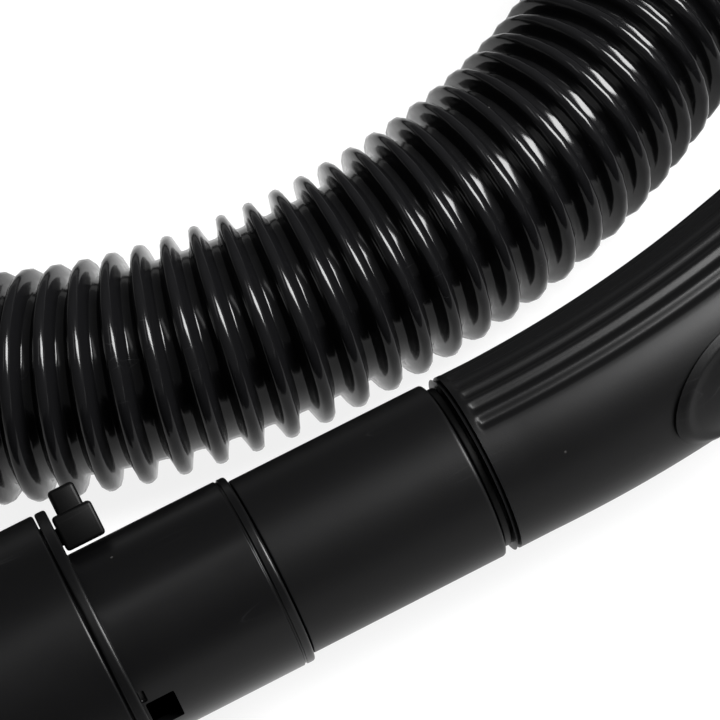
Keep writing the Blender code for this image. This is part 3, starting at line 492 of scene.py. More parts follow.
gripPath = {"start": 0.0021, "lead": 0.008, "bendRadius": 0.225, "bend": radians(36), "tail": 0.021}
gripLength = gripPath["lead"] + gripPath["bendRadius"] * gripPath["bend"] + gripPath["tail"]


def onGrip(along):
    straight = min(along, gripPath["lead"])
    radius = gripPath["bendRadius"]
    turned = min(max(along - gripPath["lead"], 0), radius * gripPath["bend"]) / radius
    tail = max(along - gripPath["lead"] - radius * gripPath["bend"], 0)
    x = gripPath["start"] + straight + radius * sin(turned) + tail * cos(turned)
    y = radius * (1 - cos(turned)) + tail * sin(turned)
    return Vector((x, y, 0)), turned


gripEnd, gripHeading = onGrip(gripLength)

# Free hose: its route lies as in the part's source

hose = {
    "diameter": 0.046, "bore": 0.036, "cuffLength": 0.040, "cuffGap": 0.0003, "inserted": 0.0217,
    "settle": 0.18, "machineMouth": (0.160, 0.286), "machineHeading": radians(90), "pitch": 0.00652,
    "ribHeight": 0.0039, "ribShift": 0.0011, "tightAt": 1.2035, "tightness": 0.05, "stepsPerRib": 12,
    "stepsAround": 30, "plainEnd": 0.012, "boreSteps": 260, "routeSamples": 40, "sharpAngle": radians(75),
}
# half of a rib's section: share of the pitch from the crest, share of the rib's height
ribSection = (
    (0.0, 1.0), (0.09, 0.975), (0.15, 0.91), (0.19, 0.8), (0.235, 0.52), (0.285, 0.2), (0.33, 0.035),
    (0.37, 0.0), (0.5, 0.0),
)
hoseRoute = (
    (0.285, 0.173), (0.305, 0.259), (0.285, 0.345), (0.224, 0.415), (0.126, 0.455),
    (0.010, 0.445), (-0.091, 0.384), (-0.147, 0.292), (-0.155, 0.197), (-0.123, 0.120),
    (-0.069, 0.0735), (-0.044, 0.0629), (-0.015, 0.0578), (0.013, 0.0587), (0.044, 0.0653),
    (0.079, 0.0840), (0.1155, 0.1175), (0.1422, 0.1593), (0.1571, 0.2066),
)


# Smooth plane curve through the points that leaves and arrives along two headings
def smoothRoute(points, startHeading, endHeading, samples):
    knots = np.array(points, dtype=float)
    chords = np.linalg.norm(np.diff(knots, axis=0), axis=1)
    count = len(knots)
    system = np.eye(count)
    slopes = np.zeros_like(knots)
    slopes[0] = (cos(startHeading), sin(startHeading))
    slopes[-1] = (cos(endHeading), sin(endHeading))
    for i in range(1, count - 1):
        before, after = chords[i - 1], chords[i]
        system[i, i - 1:i + 2] = (after, 2 * (before + after), before)
        rise = after / before * (knots[i] - knots[i - 1]) + before / after * (knots[i + 1] - knots[i])
        slopes[i] = 3 * rise
    slopes = np.linalg.solve(system, slopes)
    curve = []
    for i, chord in enumerate(chords):
        for u in np.arange(samples) / samples:
            start, end = knots[i], knots[i + 1]
            bend = chord * u * (1 - u)
            blend = u * u * (3 - 2 * u)
            curve.append(start + (end - start) * blend + bend * ((1 - u) * slopes[i] - u * slopes[i + 1]))
    curve.append(knots[-1])
    return np.array(curve)


def hoseLine():
    handleWay = np.array((cos(gripHeading), sin(gripHeading)))
    machineWay = np.array((cos(hose["machineHeading"]), sin(hose["machineHeading"])))
    handleMouth = np.array(gripEnd[:2]) + handleWay * (hose["cuffGap"] + hose["cuffLength"])
    machineMouth = np.array(hose["machineMouth"])
    leaves = handleMouth + handleWay * hose["diameter"]
    arrives = machineMouth - machineWay * hose["diameter"]
    free = smoothRoute([leaves, *hoseRoute, arrives], gripHeading, hose["machineHeading"],
                       hose["routeSamples"])
    plane = np.vstack([handleMouth - handleWay * hose["inserted"], handleMouth, free,
                       machineMouth, machineMouth + machineWay * hose["inserted"]])
    soFar = np.concatenate([[0], np.cumsum(np.linalg.norm(np.diff(plane, axis=0), axis=1))])
    fromEnd = np.minimum(soFar, soFar[-1] - soFar) - hose["inserted"] - hose["diameter"]
    settled = np.clip(fromEnd / hose["settle"], 0, 1)
    heights = (hose["diameter"] / 2 - groove.z) * settled * settled * (3 - 2 * settled)
    return np.column_stack([plane, heights]) + np.array(groove), soFar[-1], handleMouth


# Ribs wound as one helix along the route, over a plain bore: crests are rounded, valleys flat
def makeRibbedHoseTree():
    takes = (("Geometry", "Geometry"), ("Ribs", "Int", 240), ("Steps Per Rib", "Int", 10),
             ("Steps Around", "Int", 36), ("Pitch", "Float", 0.0065), ("First Rib At", "Float", 0.0),
             ("Tight From", "Float", 200.0), ("Tightness", "Float", 0.05), ("Length", "Float", 1.5),
             ("Valley Radius", "Float", 0.019), ("Rib Height", "Float", 0.0039), ("Plain End", "Float", 0.01),
             ("Bore Radius", "Float", 0.018), ("Bore Steps", "Int", 240), ("Material", "Material"))
    tree, taken, given = newTree("ribbedHose", "GeometryNodeTree", takes, (("Geometry", "Geometry"),))
    route = addNode(tree, "GeometryNodeMeshToCurve", {"Mesh": taken["Geometry"]}).outputs["Curve"]
    position = feed(tree, "GeometryNodeInputPosition")
    spot = addNode(tree, "ShaderNodeSeparateXYZ", {0: position}).outputs
    u = calc(tree, "ADD", spot["X"], 0.5)
    v = calc(tree, "ADD", spot["Y"], 0.5)
    turn = times(tree, v, 2 * pi)

    def wrap(grid, along, radius):
        sample = addNode(tree, "GeometryNodeSampleCurve", {"Curves": route, "Length": along},
                         mode="LENGTH", use_all_curves=True).outputs
        left = calcVector(tree, "NORMALIZE", calcVector(tree, "CROSS_PRODUCT", (0, 0, 1), sample["Tangent"]))
        up = calcVector(tree, "CROSS_PRODUCT", sample["Tangent"], left)
        aside = times(tree, calc(tree, "COSINE", turn), times(tree, radius, -1.0))
        above = times(tree, calc(tree, "SINE", turn), radius)
        place = calcVector(tree, "ADD", sample["Position"], calcVector(tree, "SCALE", left, aside))
        place = calcVector(tree, "ADD", place, calcVector(tree, "SCALE", up, above))
        return feed(tree, "GeometryNodeSetPosition", {"Geometry": grid, "Position": place})

    def grid(rows):
        around = calc(tree, "ADD", taken["Steps Around"], 1.0)
        return addNode(tree, "GeometryNodeMeshGrid", {"Size X": 1.0, "Size Y": 1.0, "Vertices X": rows,
                                                      "Vertices Y": around}).outputs["Mesh"]

    rows = calc(tree, "MULTIPLY_ADD", taken["Ribs"], taken["Steps Per Rib"], 1.0)
    rib = times(tree, u, taken["Ribs"])
    turns = calc(tree, "ADD", rib, v)
    tight = calc(tree, "MAXIMUM", calc(tree, "SUBTRACT", turns, taken["Tight From"]), 0.0)
    turns = calc(tree, "SUBTRACT", turns, times(tree, tight, taken["Tightness"]))
    along = calc(tree, "MULTIPLY_ADD", turns, taken["Pitch"], taken["First Rib At"])
    along = calc(tree, "MINIMUM", calc(tree, "MAXIMUM", along, 0.0), taken["Length"])
    fromCrest = calc(tree, "PINGPONG", rib, 0.5)
    section = tree.nodes.new("ShaderNodeFloatCurve")
    section.mapping.extend = "HORIZONTAL"
    curve = section.mapping.curves[0]
    while len(curve.points) < len(ribSection):
        curve.points.new(0.5, 0.5)
    for point, (share, height) in zip(curve.points, ribSection):
        point.location = (share, height)
    section.mapping.update()
    tree.links.new(fromCrest, section.inputs["Value"])
    lobe = section.outputs["Value"]
    fromEnd = calc(tree, "MINIMUM", along, calc(tree, "SUBTRACT", taken["Length"], along))
    fade = mapRange(tree, fromEnd, 0.0, taken["Plain End"], kind="SMOOTHSTEP")
    proud = times(tree, lobe, fade, taken["Rib Height"])
    skin = wrap(grid(rows), along, calc(tree, "ADD", taken["Valley Radius"], proud))
    inside = wrap(grid(taken["Bore Steps"]), times(tree, u, taken["Length"]), taken["Bore Radius"])
    inside = feed(tree, "GeometryNodeFlipFaces", {0: inside})
    both = tree.nodes.new("GeometryNodeJoinGeometry")
    tree.links.new(skin, both.inputs[0])
    tree.links.new(inside, both.inputs[0])
    inputs = {"Geometry": both.outputs[0], "Distance": 0.00001}
    merged = feed(tree, "GeometryNodeMergeByDistance", inputs)
    real = feed(tree, "GeometryNodeRealizeInstances", {0: merged})
    inputs = {"Geometry": real, "Material": taken["Material"]}
    tree.links.new(feed(tree, "GeometryNodeSetMaterial", inputs), given["Geometry"])
    return tree


def makeHose():
    line, length, handleMouth = hoseLine()
    route = bpy.data.meshes.new("hoseRoute")
    route.from_pydata([tuple(point) for point in line], [(i, i + 1) for i in range(len(line) - 1)], [])
    firstRib = hose["ribShift"] - 1.5 * hose["pitch"]
    tightFrom = (hose["tightAt"] - firstRib) / hose["pitch"]
    ribs = int(tightFrom + (length - hose["tightAt"]) / hose["pitch"] / (1 - hose["tightness"])) + 3
    values = {
        "Ribs": ribs, "Steps Per Rib": hose["stepsPerRib"], "Steps Around": hose["stepsAround"],
        "Pitch": hose["pitch"], "First Rib At": firstRib, "Length": length,
        "Tight From": tightFrom, "Tightness": hose["tightness"],
        "Valley Radius": hose["diameter"] / 2 - hose["ribHeight"], "Rib Height": hose["ribHeight"],
        "Plain End": hose["plainEnd"], "Bore Radius": hose["bore"] / 2, "Bore Steps": hose["boreSteps"],
        "Material": ink["hoseVinyl"],
    }
    mesh = runTree("vinylHose", route, makeRibbedHoseTree(), values)
    shape = bmesh.new()
    shape.from_mesh(mesh)
    # skin and bore are joined at each end by their open rims
    start = Vector(line[0])
    rims = [edge for edge in shape.edges if len(edge.link_faces) == 1]
    for near in (True, False):
        rim = [edge for edge in rims if ((edge.verts[0].co - start).length < hose["diameter"]) == near]
        bmesh.ops.bridge_loops(shape, edges=rim)
    mesh = meshFrom("vinyl_hose", shape)
    mesh.set_sharp_from_angle(angle=hose["sharpAngle"])
    piece = keepPiece("vinyl_hose", mesh, "hoseVinyl")
    declare(piece, "hose", "flexible_hose")
    print(f"hose: {length:.3f} m, {ribs} ribs, {len(mesh.polygons)} faces")
    return piece, line, length, Vector((*handleMouth, 0)) + groove


hosePiece, hosePath, hoseLength, hoseExit = makeHose()

# Cuffs and the machine's connector

cuff = {
    "rim": 0.028, "rimWidth": 0.006, "barrel": 0.0253, "length": 0.040, "shoulder": 0.0195, "taper": 0.006,
    "socket": 0.0233, "socketDepth": 0.022, "spigot": 0.0165, "spigotBore": 0.014, "spigotLength": 0.018,
    "snapAt": 0.0125, "snapWidth": 0.0018, "snapDepth": 0.001, "sealAt": 0.0055, "sealWidth": 0.0024,
    "sealDepth": 0.0014, "flutes": 30, "fluteFrom": 0.0095, "fluteTo": 0.0315, "fluteWidth": 0.0011,
}


def spigotSide(radius, mouth):
    tip = mouth + cuff["spigotLength"]
    points = [(radius, tip, 0.0005)]
    for centre, width, depth in ((mouth + cuff["snapAt"], cuff["snapWidth"], cuff["snapDepth"]),
                                 (mouth + cuff["sealAt"], cuff["sealWidth"], cuff["sealDepth"])):
        points += [(radius, centre + width / 2, 0.0001), (radius - depth, centre + width / 2, 0.0001)]
        points += [(radius - depth, centre - width / 2, 0.0001), (radius, centre - width / 2, 0.0001)]
    return points


# Raised flutes in a ring round a cuff, each tapering to nothing at both ends
def makeFluteTree():
    takes = (("Geometry", "Geometry"), ("Count", "Int", 30), ("Radius", "Float", 0.025),
             ("From", "Float", 0.01), ("To", "Float", 0.03), ("Width", "Float", 0.001),
             ("Material", "Material"))
    tree, taken, given = newTree("cuffFlutes", "GeometryNodeTree", takes, (("Geometry", "Geometry"),))
    start = feed(tree, "ShaderNodeCombineXYZ", {"Z": taken["From"]})
    end = feed(tree, "ShaderNodeCombineXYZ", {"Z": taken["To"]})
    line = feed(tree, "GeometryNodeCurvePrimitiveLine", {"Start": start, "End": end})
    line = feed(tree, "GeometryNodeResampleCurve", {"Curve": line, "Count": 13})
    share = addNode(tree, "GeometryNodeSplineParameter").outputs["Factor"]
    middle = calc(tree, "ABSOLUTE", calc(tree, "MULTIPLY_ADD", share, 2.0, -1.0))
    fat = calc(tree, "SQRT", calc(tree, "SUBTRACT", 1.02, calc(tree, "POWER", middle, 6.0)))
    inputs = {"Resolution": 10, "Radius": taken["Width"]}
    section = feed(tree, "GeometryNodeCurvePrimitiveCircle", inputs)
    inputs = {"Curve": line, "Profile Curve": section, "Fill Caps": True, "Scale": fat}
    flute = feed(tree, "GeometryNodeCurveToMesh", inputs)
    inputs = {"Vertices": taken["Count"], "Radius": taken["Radius"]}
    ring = feed(tree, "GeometryNodeMeshCircle", inputs)
    ring = feed(tree, "GeometryNodeInstanceOnPoints", {"Points": ring, "Instance": flute})
    real = feed(tree, "GeometryNodeRealizeInstances", {0: ring})
    smooth = feed(tree, "GeometryNodeSetShadeSmooth", {0: real})
    inputs = {"Geometry": smooth, "Material": taken["Material"]}
    tree.links.new(feed(tree, "GeometryNodeSetMaterial", inputs), given["Geometry"])
    return tree


fluteTree = makeFluteTree()


def makeCuff(name, node, place):
    length = cuff["length"]
    outline = spigotSide(cuff["spigot"], length + 0.0003)
    outline += [(cuff["spigot"], length, 0.0002), (cuff["shoulder"], length, 0.0008)]
    outline += [(cuff["barrel"], length - cuff["taper"], 0.003), (cuff["barrel"], cuff["rimWidth"], 0.0006)]
    outline += [(cuff["rim"], cuff["rimWidth"] - 0.0006, 0.0008), (cuff["rim"], 0, 0.0012)]
    outline += [(cuff["socket"], 0, 0.0006), (cuff["socket"], cuff["socketDepth"], 0.0003)]
    outline += [(hose["bore"] / 2, cuff["socketDepth"], 0.0004)]
    outline += [(cuff["spigotBore"], length - cuff["taper"], 0.002)]
    outline += [(cuff["spigotBore"], length + 0.0003 + cuff["spigotLength"], 0.0004)]
    body = latheMesh(name, outline, place)
    values = {"Count": cuff["flutes"], "Radius": cuff["barrel"] - 0.0003, "From": cuff["fluteFrom"],
              "To": cuff["fluteTo"], "Width": cuff["fluteWidth"], "Material": ink["cuffPlastic"]}
    flutes = runTree(name, bpy.data.meshes.new(name + "Seed"), fluteTree, values)
    flutes.transform(place)
    shape = bmesh.new()
    shape.from_mesh(body)
    shape.from_mesh(flutes)
    piece = keepPiece(name, meshFrom(name, shape), "cuffPlastic")
    declare(piece, "hose", node)
    return piece


handleWay = Vector((cos(gripHeading), sin(gripHeading), 0))
handleCuffPlace = alongAxis(gripEnd + handleWay * (hose["cuffGap"] + cuff["length"]), gripHeading + pi)
machineCuffPlace = alongAxis((*hose["machineMouth"], 0), hose["machineHeading"])
handleCuff = makeCuff("handle_cuff", "handle_end_cuff", handleCuffPlace)
machineCuff = makeCuff("machine_cuff", "machine_end_cuff", machineCuffPlace)
print("cuffs made, each with", cuff["flutes"], "flutes")

connector = {
    "barrel": 0.021, "flange": 0.023, "flangeFrom": 0.0145, "flangeWidth": 0.005, "root": 0.020,
    "tip": 0.019, "length": 0.060, "bore": 0.015, "sealFromTip": 0.010, "sealWidth": 0.0024,
    "sealDepth": 0.0015, "sealRise": 0.0008, "snapDepth": 0.0009, "gap": 0.0003,
}


def makeConnector():
    place = machineCuffPlace @ Matrix.Translation((0, 0, cuff["length"]))
    c = connector
    flangeTop = c["flangeFrom"] + c["flangeWidth"]
    sealHigh = c["length"] - c["sealFromTip"]
    sealLow = sealHigh - c["sealWidth"] - 2 * c["gap"]

    def taper(height):
        return float(np.interp(height, (flangeTop, c["length"]), (c["root"], c["tip"])))

    seat = taper(sealHigh) - c["sealDepth"]
    socket = cuff["spigot"] + c["gap"]
    snapSeat = socket + c["gap"] + c["snapDepth"]
    low = c["gap"] + cuff["snapAt"] - cuff["snapWidth"] / 2
    high = low + cuff["snapWidth"]
    depth = c["gap"] + cuff["spigotLength"] + c["gap"]
    outline = [(c["tip"], c["length"], 0.0012), (taper(sealHigh), sealHigh, 0.0002), (seat, sealHigh, 0.0002)]
    outline += [(seat, sealLow, 0.0002), (taper(sealLow), sealLow, 0.0002), (c["root"], flangeTop, 0.0005)]
    outline += [(c["flange"], flangeTop, 0.0008), (c["flange"], c["flangeFrom"], 0.0008)]
    outline += [(c["barrel"], c["flangeFrom"], 0.0006), (c["barrel"], c["gap"], 0.0008)]
    outline += [(socket, c["gap"], 0.0003), (socket, low, 0.0001), (snapSeat, low, 0.0001)]
    outline += [(snapSeat, high, 0.0001), (socket, high, 0.0001), (socket, depth, 0.0002)]
    outline += [(c["bore"], depth, 0.0003), (c["bore"], c["length"], 0.0006)]
    piece = turnPiece("inlet_connector", outline, place, "cuffPlastic",
                      "machine", "machine_connector")
    inside = seat + c["gap"]
    proud = taper(sealHigh) + c["sealRise"]
    flank = inside + c["sealRise"]
    low = sealLow + c["gap"]
    high = sealHigh - c["gap"]
    outline = [(inside, high, 0.0002), (flank, high, 0.0003), (proud, (low + high) / 2, 0.0008)]
    outline += [(flank, low, 0.0003), (inside, low, 0.0002)]
    seal = turnPiece("inlet_seal", outline, place, "sealRubber", "machine", "connector_seal")
    return piece, seal


inletConnector, inletSeal = makeConnector()
print("connector made and hose declared")

# Wand: sleeve, outlet tube, tool socket, collar

wand = {
    "sleeve": 0.0175, "sleeveLength": 0.0396, "spigot": 0.0145, "spigotBore": 0.01225, "plugLength": 0.020,
    "sleeveWall": 0.0022, "tube": 0.0187, "tubeBore": 0.017, "tubeShown": 0.0318, "lipWidth": 0.0016,
    "lipGroove": 0.0003, "washer": 0.0161, "grooveWidth": 0.0021, "gap": 0.0003, "rimWidth": 0.0022,
    "collar": 0.028, "collarWall": 0.0025, "collarLength": 0.0545, "register": 0.0012, "socketBore": 0.0177,
    "socketDepth": 0.031, "socket": 0.021, "socketStep": 0.0017, "tubeSeat": 0.005, "socketRecess": 0.0003,
    "sealFromMouth": 0.0034, "sealWidth": 0.0024, "sealSeat": 0.0012, "sealReach": 0.0006, "steps": 160,
}
wandAxis = alongAxis((0, 0, 0), 0)
tubeEnd = -wand["sleeveLength"] - wand["gap"]
rimFace = tubeEnd - wand["tubeShown"]
collarRight = rimFace - wand["rimWidth"] - wand["gap"]
collarLeft = collarRight - wand["collarLength"]
socketMouth = collarLeft + wand["socketRecess"]


def makeSleeve():
    w = wand
    plug = w["tubeBore"] - w["gap"]
    plugEnd = -w["sleeveLength"] - w["plugLength"]
    outline = spigotSide(w["spigot"], w["grooveWidth"])
    outline += [(w["spigot"], 0, 0.0002), (w["sleeve"], 0, 0.0007), (w["sleeve"], -w["sleeveLength"], 0.0003)]
    outline += [(plug, -w["sleeveLength"], 0.0002), (plug, plugEnd, 0.0006)]
    inside = plug - w["sleeveWall"]
    outline += [(inside, plugEnd, 0.0006), (inside, -w["sleeveLength"] / 2, 0.002)]
    outline += [(w["spigotBore"], -w["sleeveWall"], 0.002)]
    outline += [(w["spigotBore"], w["grooveWidth"] + cuff["spigotLength"], 0.0006)]
    turnPiece("sleeve", outline, wandAxis, "gripPlastic", "wand", "wand_sleeve")
    washer, hole = w["washer"], w["spigot"] + w["gap"]
    low, high = w["gap"], w["grooveWidth"] - w["gap"]
    outline = [(washer, high, 0.0003), (washer, low, 0.0003), (hole, low, 0.0002), (hole, high, 0.0002)]
    turnPiece("swivel_ring", outline, wandAxis, "latchPlastic", "wand", "swivel_washer")


window = {"length": 0.0056, "width": 0.0075, "depth": 0.004, "fromRim": 0.0005, "elevation": radians(3)}
notch = {"length": 0.0013, "width": 0.0026, "depth": 0.0008, "elevation": radians(20)}


def makeTube():
    w = wand
    seat = socketMouth + w["socketDepth"] + w["socketStep"] + w["gap"]
    lip = tubeEnd - w["lipWidth"]
    low = w["tube"] - w["lipGroove"]
    outline = [(w["tube"], tubeEnd, 0.0006), (w["tube"], lip, 0.00025), (low, lip - 0.0001, 0.0001)]
    outline += [(low, lip - 0.0004, 0.0001), (w["tube"], lip - 0.0006, 0.0002), (w["tube"], seat, 0.0003)]
    outline += [(w["tubeBore"], seat, 0.0003), (w["tubeBore"], tubeEnd, 0.0003)]
    piece = keepPiece("outlet_pipe", latheMesh("outlet_pipe", outline, wandAxis, w["steps"]), "tubePlastic")
    for cut, at in ((window, rimFace + window["fromRim"]), (notch, rimFace)):
        reach = cut["depth"] + 0.004
        size = (cut["length"], cut["width"], reach)
        centre = (cut["length"] / 2, 0, w["tube"] - cut["depth"] + reach / 2)
        carve(piece, softBox("cut", size, centre, onWand(at, cut["elevation"]), 0.0004))
    declare(piece, "wand", "outlet_tube")


def makeToolSocket():
    w = wand
    step = socketMouth + w["socketDepth"]
    tubeSeat = step + w["socketStep"]
    top = tubeSeat + w["tubeSeat"]
    sealLow = socketMouth + w["sealFromMouth"]
    sealHigh = sealLow + w["sealWidth"] + 2 * w["gap"]
    sealSeat = w["socketBore"] + w["sealSeat"] + w["gap"]
    bore = w["socketBore"]
    outline = [(w["socket"], top, 0.0005), (w["socket"], socketMouth, 0.0004), (bore, socketMouth, 0.001)]
    outline += [(bore, sealLow, 0.0001), (sealSeat, sealLow, 0.0002), (sealSeat, sealHigh, 0.0002)]
    outline += [(bore, sealHigh, 0.0001), (bore, step, 0.0004), (w["tubeBore"], step, 0.0004)]
    outline += [(w["tubeBore"], tubeSeat, 0.0001), (w["tube"] + w["gap"], tubeSeat, 0.0001)]
    outline += [(w["tube"] + w["gap"], top, 0.0004)]
    turnPiece("tool_mouth", outline, wandAxis, "collarPlastic", "wand", "tool_socket")
    low = sealLow + w["gap"]
    high = sealHigh - w["gap"]
    outline = [(bore + w["sealSeat"], high, 0.0002), (bore + w["sealSeat"], low, 0.0002), (bore, low, 0.0003)]
    outline += [(bore - w["sealReach"], (low + high) / 2, 0.0006), (bore, high, 0.0003)]
    turnPiece("mouth_seal", outline, wandAxis, "sealRubber", "wand", "tool_lip_seal")


def makeCollar():
    w = wand
    outside = w["collar"]
    inside = outside - w["collarWall"]
    hole = w["socket"] + w["gap"]
    outline = [(outside, collarRight, 0.0006), (outside, collarLeft, 0.0016), (hole, collarLeft, 0.0003)]
    outline += [(hole, collarLeft + w["collarWall"], 0.0003), (inside, collarLeft + w["collarWall"], 0.0006)]
    outline += [(inside, collarRight, 0.0003)]
    turnPiece("round_collar", outline, wandAxis, "collarPlastic",
              "wand", "collar_shell", w["steps"])
    back = rimFace - w["rimWidth"]
    hole = w["tube"] + w["gap"]
    lip = inside - w["gap"]
    outline = [(outside, rimFace, 0.0007), (outside, back, 0.0005), (lip, back, 0.0001)]
    outline += [(lip, back - w["register"], 0.0002), (lip - w["register"], back - w["register"], 0.0002)]
    outline += [(lip - w["register"], back, 0.0002), (hole, back, 0.0003), (hole, rimFace, 0.0003)]
    ring = keepPiece("collar_rim", latheMesh("collar_rim", outline, wandAxis, w["steps"]), "collarPlastic")
    place = onWand(rimFace, latch["elevation"])
    carve(ring, rodMesh("drill", latch["rod"] + w["gap"], *latch["drill"], latch["rodAt"], place, 0))
    declare(ring, "wand", "collar_rim_ring")


latch = {
    "elevation": radians(140), "length": 0.0078, "width": 0.009, "top": 0.026, "neckLength": 0.0052,
    "neckWidth": 0.005, "neckTop": 0.0305, "rod": 0.0017, "rodAt": 0.0222, "rodLength": 0.011,
    "head": 0.0027, "headLength": 0.002, "slideGap": 0.0005, "overlap": 0.0005, "travel": 0.004,
    "blockEdge": 0.0007, "neckEdge": 0.0008, "drill": (-0.006, 0.004),
}


def makeLatch():
    place = onWand(rimFace, latch["elevation"])
    foot = wand["tube"] + latch["slideGap"]
    middle = wand["gap"] + latch["length"] / 2
    size = (latch["length"], latch["width"], latch["top"] - foot)
    block = softBox("latch_block", size, (middle, 0, (latch["top"] + foot) / 2), place, latch["blockEdge"])
    piece = keepPiece("latch_block", block, "latchPlastic")
    neckHeight = latch["neckTop"] - foot - latch["overlap"]
    size = (latch["neckLength"], latch["neckWidth"], neckHeight)
    centre = (middle, 0, latch["neckTop"] - neckHeight / 2)
    rodEnd = -wand["rimWidth"] - latch["rodLength"]
    headEnd = rodEnd - latch["headLength"]
    for part in (softBox("neck", size, centre, place, latch["neckEdge"]),
                 rodMesh("rod", latch["rod"], rodEnd - latch["overlap"], middle, latch["rodAt"], place),
                 rodMesh("head", latch["head"], headEnd, rodEnd, latch["rodAt"], place)):
        carve(piece, part, "UNION")
    declare(piece, "latch", "release_latch")


makeSleeve()
makeTube()
makeToolSocket()
makeCollar()
makeLatch()
print("wand made")

# Grip with its ridges, and the bleed slide

grip = {
    "start": 0.0175, "middle": 0.01865, "end": 0.0194, "middleAt": 0.067, "edge": 0.0008, "endEdge": 0.0006,
    "edgeSteps": 4, "ridges": 20, "ridgeSpan": radians(225), "ridgeDepth": 0.0007, "ridgeStart": 0.0018,
    "ridgeFade": 0.0012, "ridgeEnd": 0.127, "ridgeOut": 0.012, "stepsPerRidge": 8, "smoothSteps": 44,
    "stations": 120, "play": 0.0003, "mouthEdge": 0.0004, "snapDepth": 0.0012, "snapEdge": 0.0001,
    "socketDepth": 0.0183, "bore": 0.0135, "boreFrom": 0.0185, "boreRun": 0.022, "boreSteps": 30,
}


def gripRadius(along):
    return float(np.interp(along, (gripPath["lead"], grip["middleAt"], gripLength),
                           (grip["start"], grip["middle"], grip["end"])))


def easeIn(value, low, high):
    share = min(max((value - low) / (high - low), 0), 1)
    return share * share * (3 - 2 * share)


# (elevation, share of a ridge's groove) round the grip: the smooth side, then the ridges
def gripSection():
    smooth = pi - grip["ridgeSpan"] / 2
    section = [(2 * smooth * i / grip["smoothSteps"] - smooth, 0) for i in range(grip["smoothSteps"])]
    for i in range(grip["ridges"] * grip["stepsPerRidge"]):
        share = i / grip["stepsPerRidge"]
        section.append((smooth + grip["ridgeSpan"] * share / grip["ridges"], (1 - cos(2 * pi * share)) / 2))
    return section


# Point of the grip's frame at a distance from its centre line
def offGrip(along, elevation, reach):
    point, heading = onGrip(along)
    outwards = Vector((sin(heading), -cos(heading), 0))
    return groove + point + outwards * reach * cos(elevation) + Vector((0, 0, reach * sin(elevation)))


def gripRing(along, section, radius, depth=0):
    return [offGrip(along, elevation, radius - depth * share) for elevation, share in section]


bleed = {
    "at": 0.0505, "elevation": radians(10), "length": 0.036, "width": 0.023, "height": 0.0009, "gap": 0.0004,
    "dish": 0.0006, "rim": 0.0003, "around": 72, "stemLength": 0.008, "stemWidth": 0.004, "stemFoot": 0.010,
    "stemTop": 0.0003, "stemEdge": 0.0004, "travel": 0.008, "slotAt": 0.018, "slotDepth": 0.014,
    "slotEdge": 0.0008, "vent": 0.0025, "ventFromEnd": 0.0045, "ventRun": (0.010, 0.025), "ventSides": 40,
}
# shares of the pad's half width that its loops of points stand at, on top and underneath
padTop = (0.0, 0.25, 0.5, 0.65, 0.76, 0.82, 0.86, 0.89, 0.92, 0.945, 0.97, 0.985, 1.0)
padUnder = (1.0, 0.66, 0.33, 0.0)


# Frame on the grip's centre line with Z outwards through the pad
def facePad(along):
    point, heading = onGrip(along)
    turn = spin(heading, "Z") @ spin(pi / 2 - bleed["elevation"], "X")
    return Matrix.Translation(groove + point) @ turn


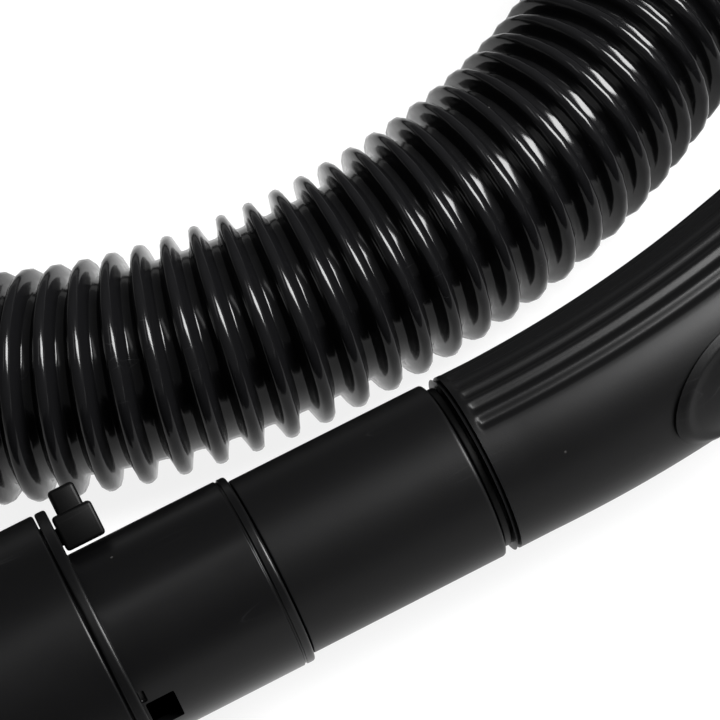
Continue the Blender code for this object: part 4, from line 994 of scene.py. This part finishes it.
def makeGrip():
    section = gripSection()
    edge, endEdge, end = grip["edge"], grip["endEdge"], gripLength
    quarter = [pi / 2 * k / grip["edgeSteps"] for k in range(grip["edgeSteps"] + 1)]
    rings = [gripRing(edge * (1 - sin(t)), section, grip["start"] - edge * (1 - cos(pi / 2 - t)))
             for t in reversed(quarter)]
    ridgeStart, ridgeFull = grip["ridgeStart"], grip["ridgeStart"] + grip["ridgeFade"]
    stations = [*np.linspace(edge * 1.15, ridgeStart, 4), *np.linspace(ridgeStart + 0.0002, ridgeFull, 6),
                *np.linspace(ridgeFull + 0.001, end - 0.0007, grip["stations"])]
    for along in stations:
        depth = grip["ridgeDepth"] * easeIn(along, ridgeStart, ridgeFull)
        depth *= 1 - easeIn(along, grip["ridgeEnd"], grip["ridgeEnd"] + grip["ridgeOut"])
        rings.append(gripRing(along, section, gripRadius(along), depth))
    for t in quarter[1:]:
        rounded = gripRadius(end) - endEdge * (1 - cos(t))
        rings.append(gripRing(end - endEdge * (1 - sin(t)), section, rounded))
    cuffSocket = cuff["spigot"] + grip["play"]
    sleeveSocket = wand["spigot"] + grip["play"]
    cuffSnap, sleeveSnap = cuffSocket + grip["snapDepth"], sleeveSocket + grip["snapDepth"]
    near, far = cuff["snapAt"] - cuff["snapWidth"] / 2, cuff["snapAt"] + cuff["snapWidth"] / 2
    soft, step, bore = grip["mouthEdge"], grip["snapEdge"], grip["bore"]
    inner = [(end, cuffSocket + soft), (end - soft, cuffSocket), (end - near, cuffSocket)]
    inner += [(end - near - step, cuffSnap), (end - far, cuffSnap), (end - far - step, cuffSocket)]
    inner += [(end - grip["socketDepth"], cuffSocket), (end - grip["boreFrom"], bore)]
    run = grip["boreRun"]
    inner += [(along, bore) for along in np.linspace(end - run, run, grip["boreSteps"])]
    inner += [(grip["boreFrom"], bore), (grip["socketDepth"], sleeveSocket), (far, sleeveSocket)]
    inner += [(far - step, sleeveSnap), (near, sleeveSnap), (near - step, sleeveSocket)]
    inner += [(soft, sleeveSocket), (0.0, sleeveSocket + soft)]
    rings += [gripRing(along, section, radius) for along, radius in inner]
    shape = bmesh.new()
    skinRings(shape, rings)
    piece = keepPiece("curved_grip", meshFrom("curved_grip", shape), "gripPlastic")
    play = 2 * bleed["gap"]
    size = (bleed["stemLength"] + bleed["travel"] + play, bleed["stemWidth"] + play, bleed["slotDepth"])
    place = facePad(bleed["at"] + bleed["travel"] / 2)
    carve(piece, softBox("slot", size, (0, 0, bleed["slotAt"]), place, bleed["slotEdge"]))
    place = facePad(bleed["at"] - bleed["length"] / 2 + bleed["ventFromEnd"]) @ spin(-pi / 2, "Y")
    carve(piece, rodMesh("vent", bleed["vent"], *bleed["ventRun"], 0, place, 0, bleed["ventSides"]))
    declare(piece, "grip", "grip_shell")


def padLift(share):
    dish = bleed["dish"] * (1 - easeIn(share, 0.78, 0.9))
    rounded = (bleed["height"] - bleed["rim"]) * easeIn(share, 0.86, 1.02)
    return bleed["height"] - dish - rounded


def padPoint(share, turn, lift):
    along = bleed["at"] + share * cos(turn) * bleed["length"] / 2
    side = share * sin(turn) * bleed["width"] / 2
    base = gripRadius(along) + bleed["gap"]
    return offGrip(along, asin(side / base) + bleed["elevation"], base + lift)


# Oval pad that follows the grip: raised border, shallow dish, and a stem through the slot
def makeBleed():
    around = bleed["around"]
    shape = bmesh.new()
    levels = [(share, padLift(share)) for share in padTop] + [(share, 0) for share in padUnder]
    loops = []
    for share, lift in levels:
        turns = [2 * pi * i / around for i in range(around if share else 1)]
        loops.append([shape.verts.new(padPoint(share, turn, lift)) for turn in turns])
    for near, far in zip(loops, loops[1:]):
        for i in range(around):
            if len(near) == 1:
                shape.faces.new((near[0], far[i - 1], far[i]))
            elif len(far) == 1:
                shape.faces.new((near[i], near[i - 1], far[0]))
            else:
                shape.faces.new((near[i], near[i - 1], far[i - 1], far[i]))
    piece = keepPiece("bleed_pad", meshFrom("bleed_pad", shape), "gripPlastic")
    low, high = bleed["stemFoot"], gripRadius(bleed["at"]) + bleed["gap"] + bleed["stemTop"]
    size = (bleed["stemLength"], bleed["stemWidth"], high - low)
    stem = softBox("stem", size, (0, 0, (low + high) / 2), facePad(bleed["at"]), bleed["stemEdge"])
    carve(piece, stem, "UNION")
    declare(piece, "bleed", "bleed_slide")


makeGrip()
makeBleed()
print("grip made")

# CAD pieces that stay as they are get their own finish
keptFinishes = {
    "ringPlastic": ("cuff_snap_ring", "sleeve_snap_ring", "machine_snap_ring", "bleed_keeper"),
    "sealRubber": ("cuff_o_ring", "sleeve_o_ring", "machine_o_ring"),
    "springSteel": ("latch_spring",),
}
for finish, names in keptFinishes.items():
    for name in names:
        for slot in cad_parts[name].material_slots:
            slot.material = ink[finish]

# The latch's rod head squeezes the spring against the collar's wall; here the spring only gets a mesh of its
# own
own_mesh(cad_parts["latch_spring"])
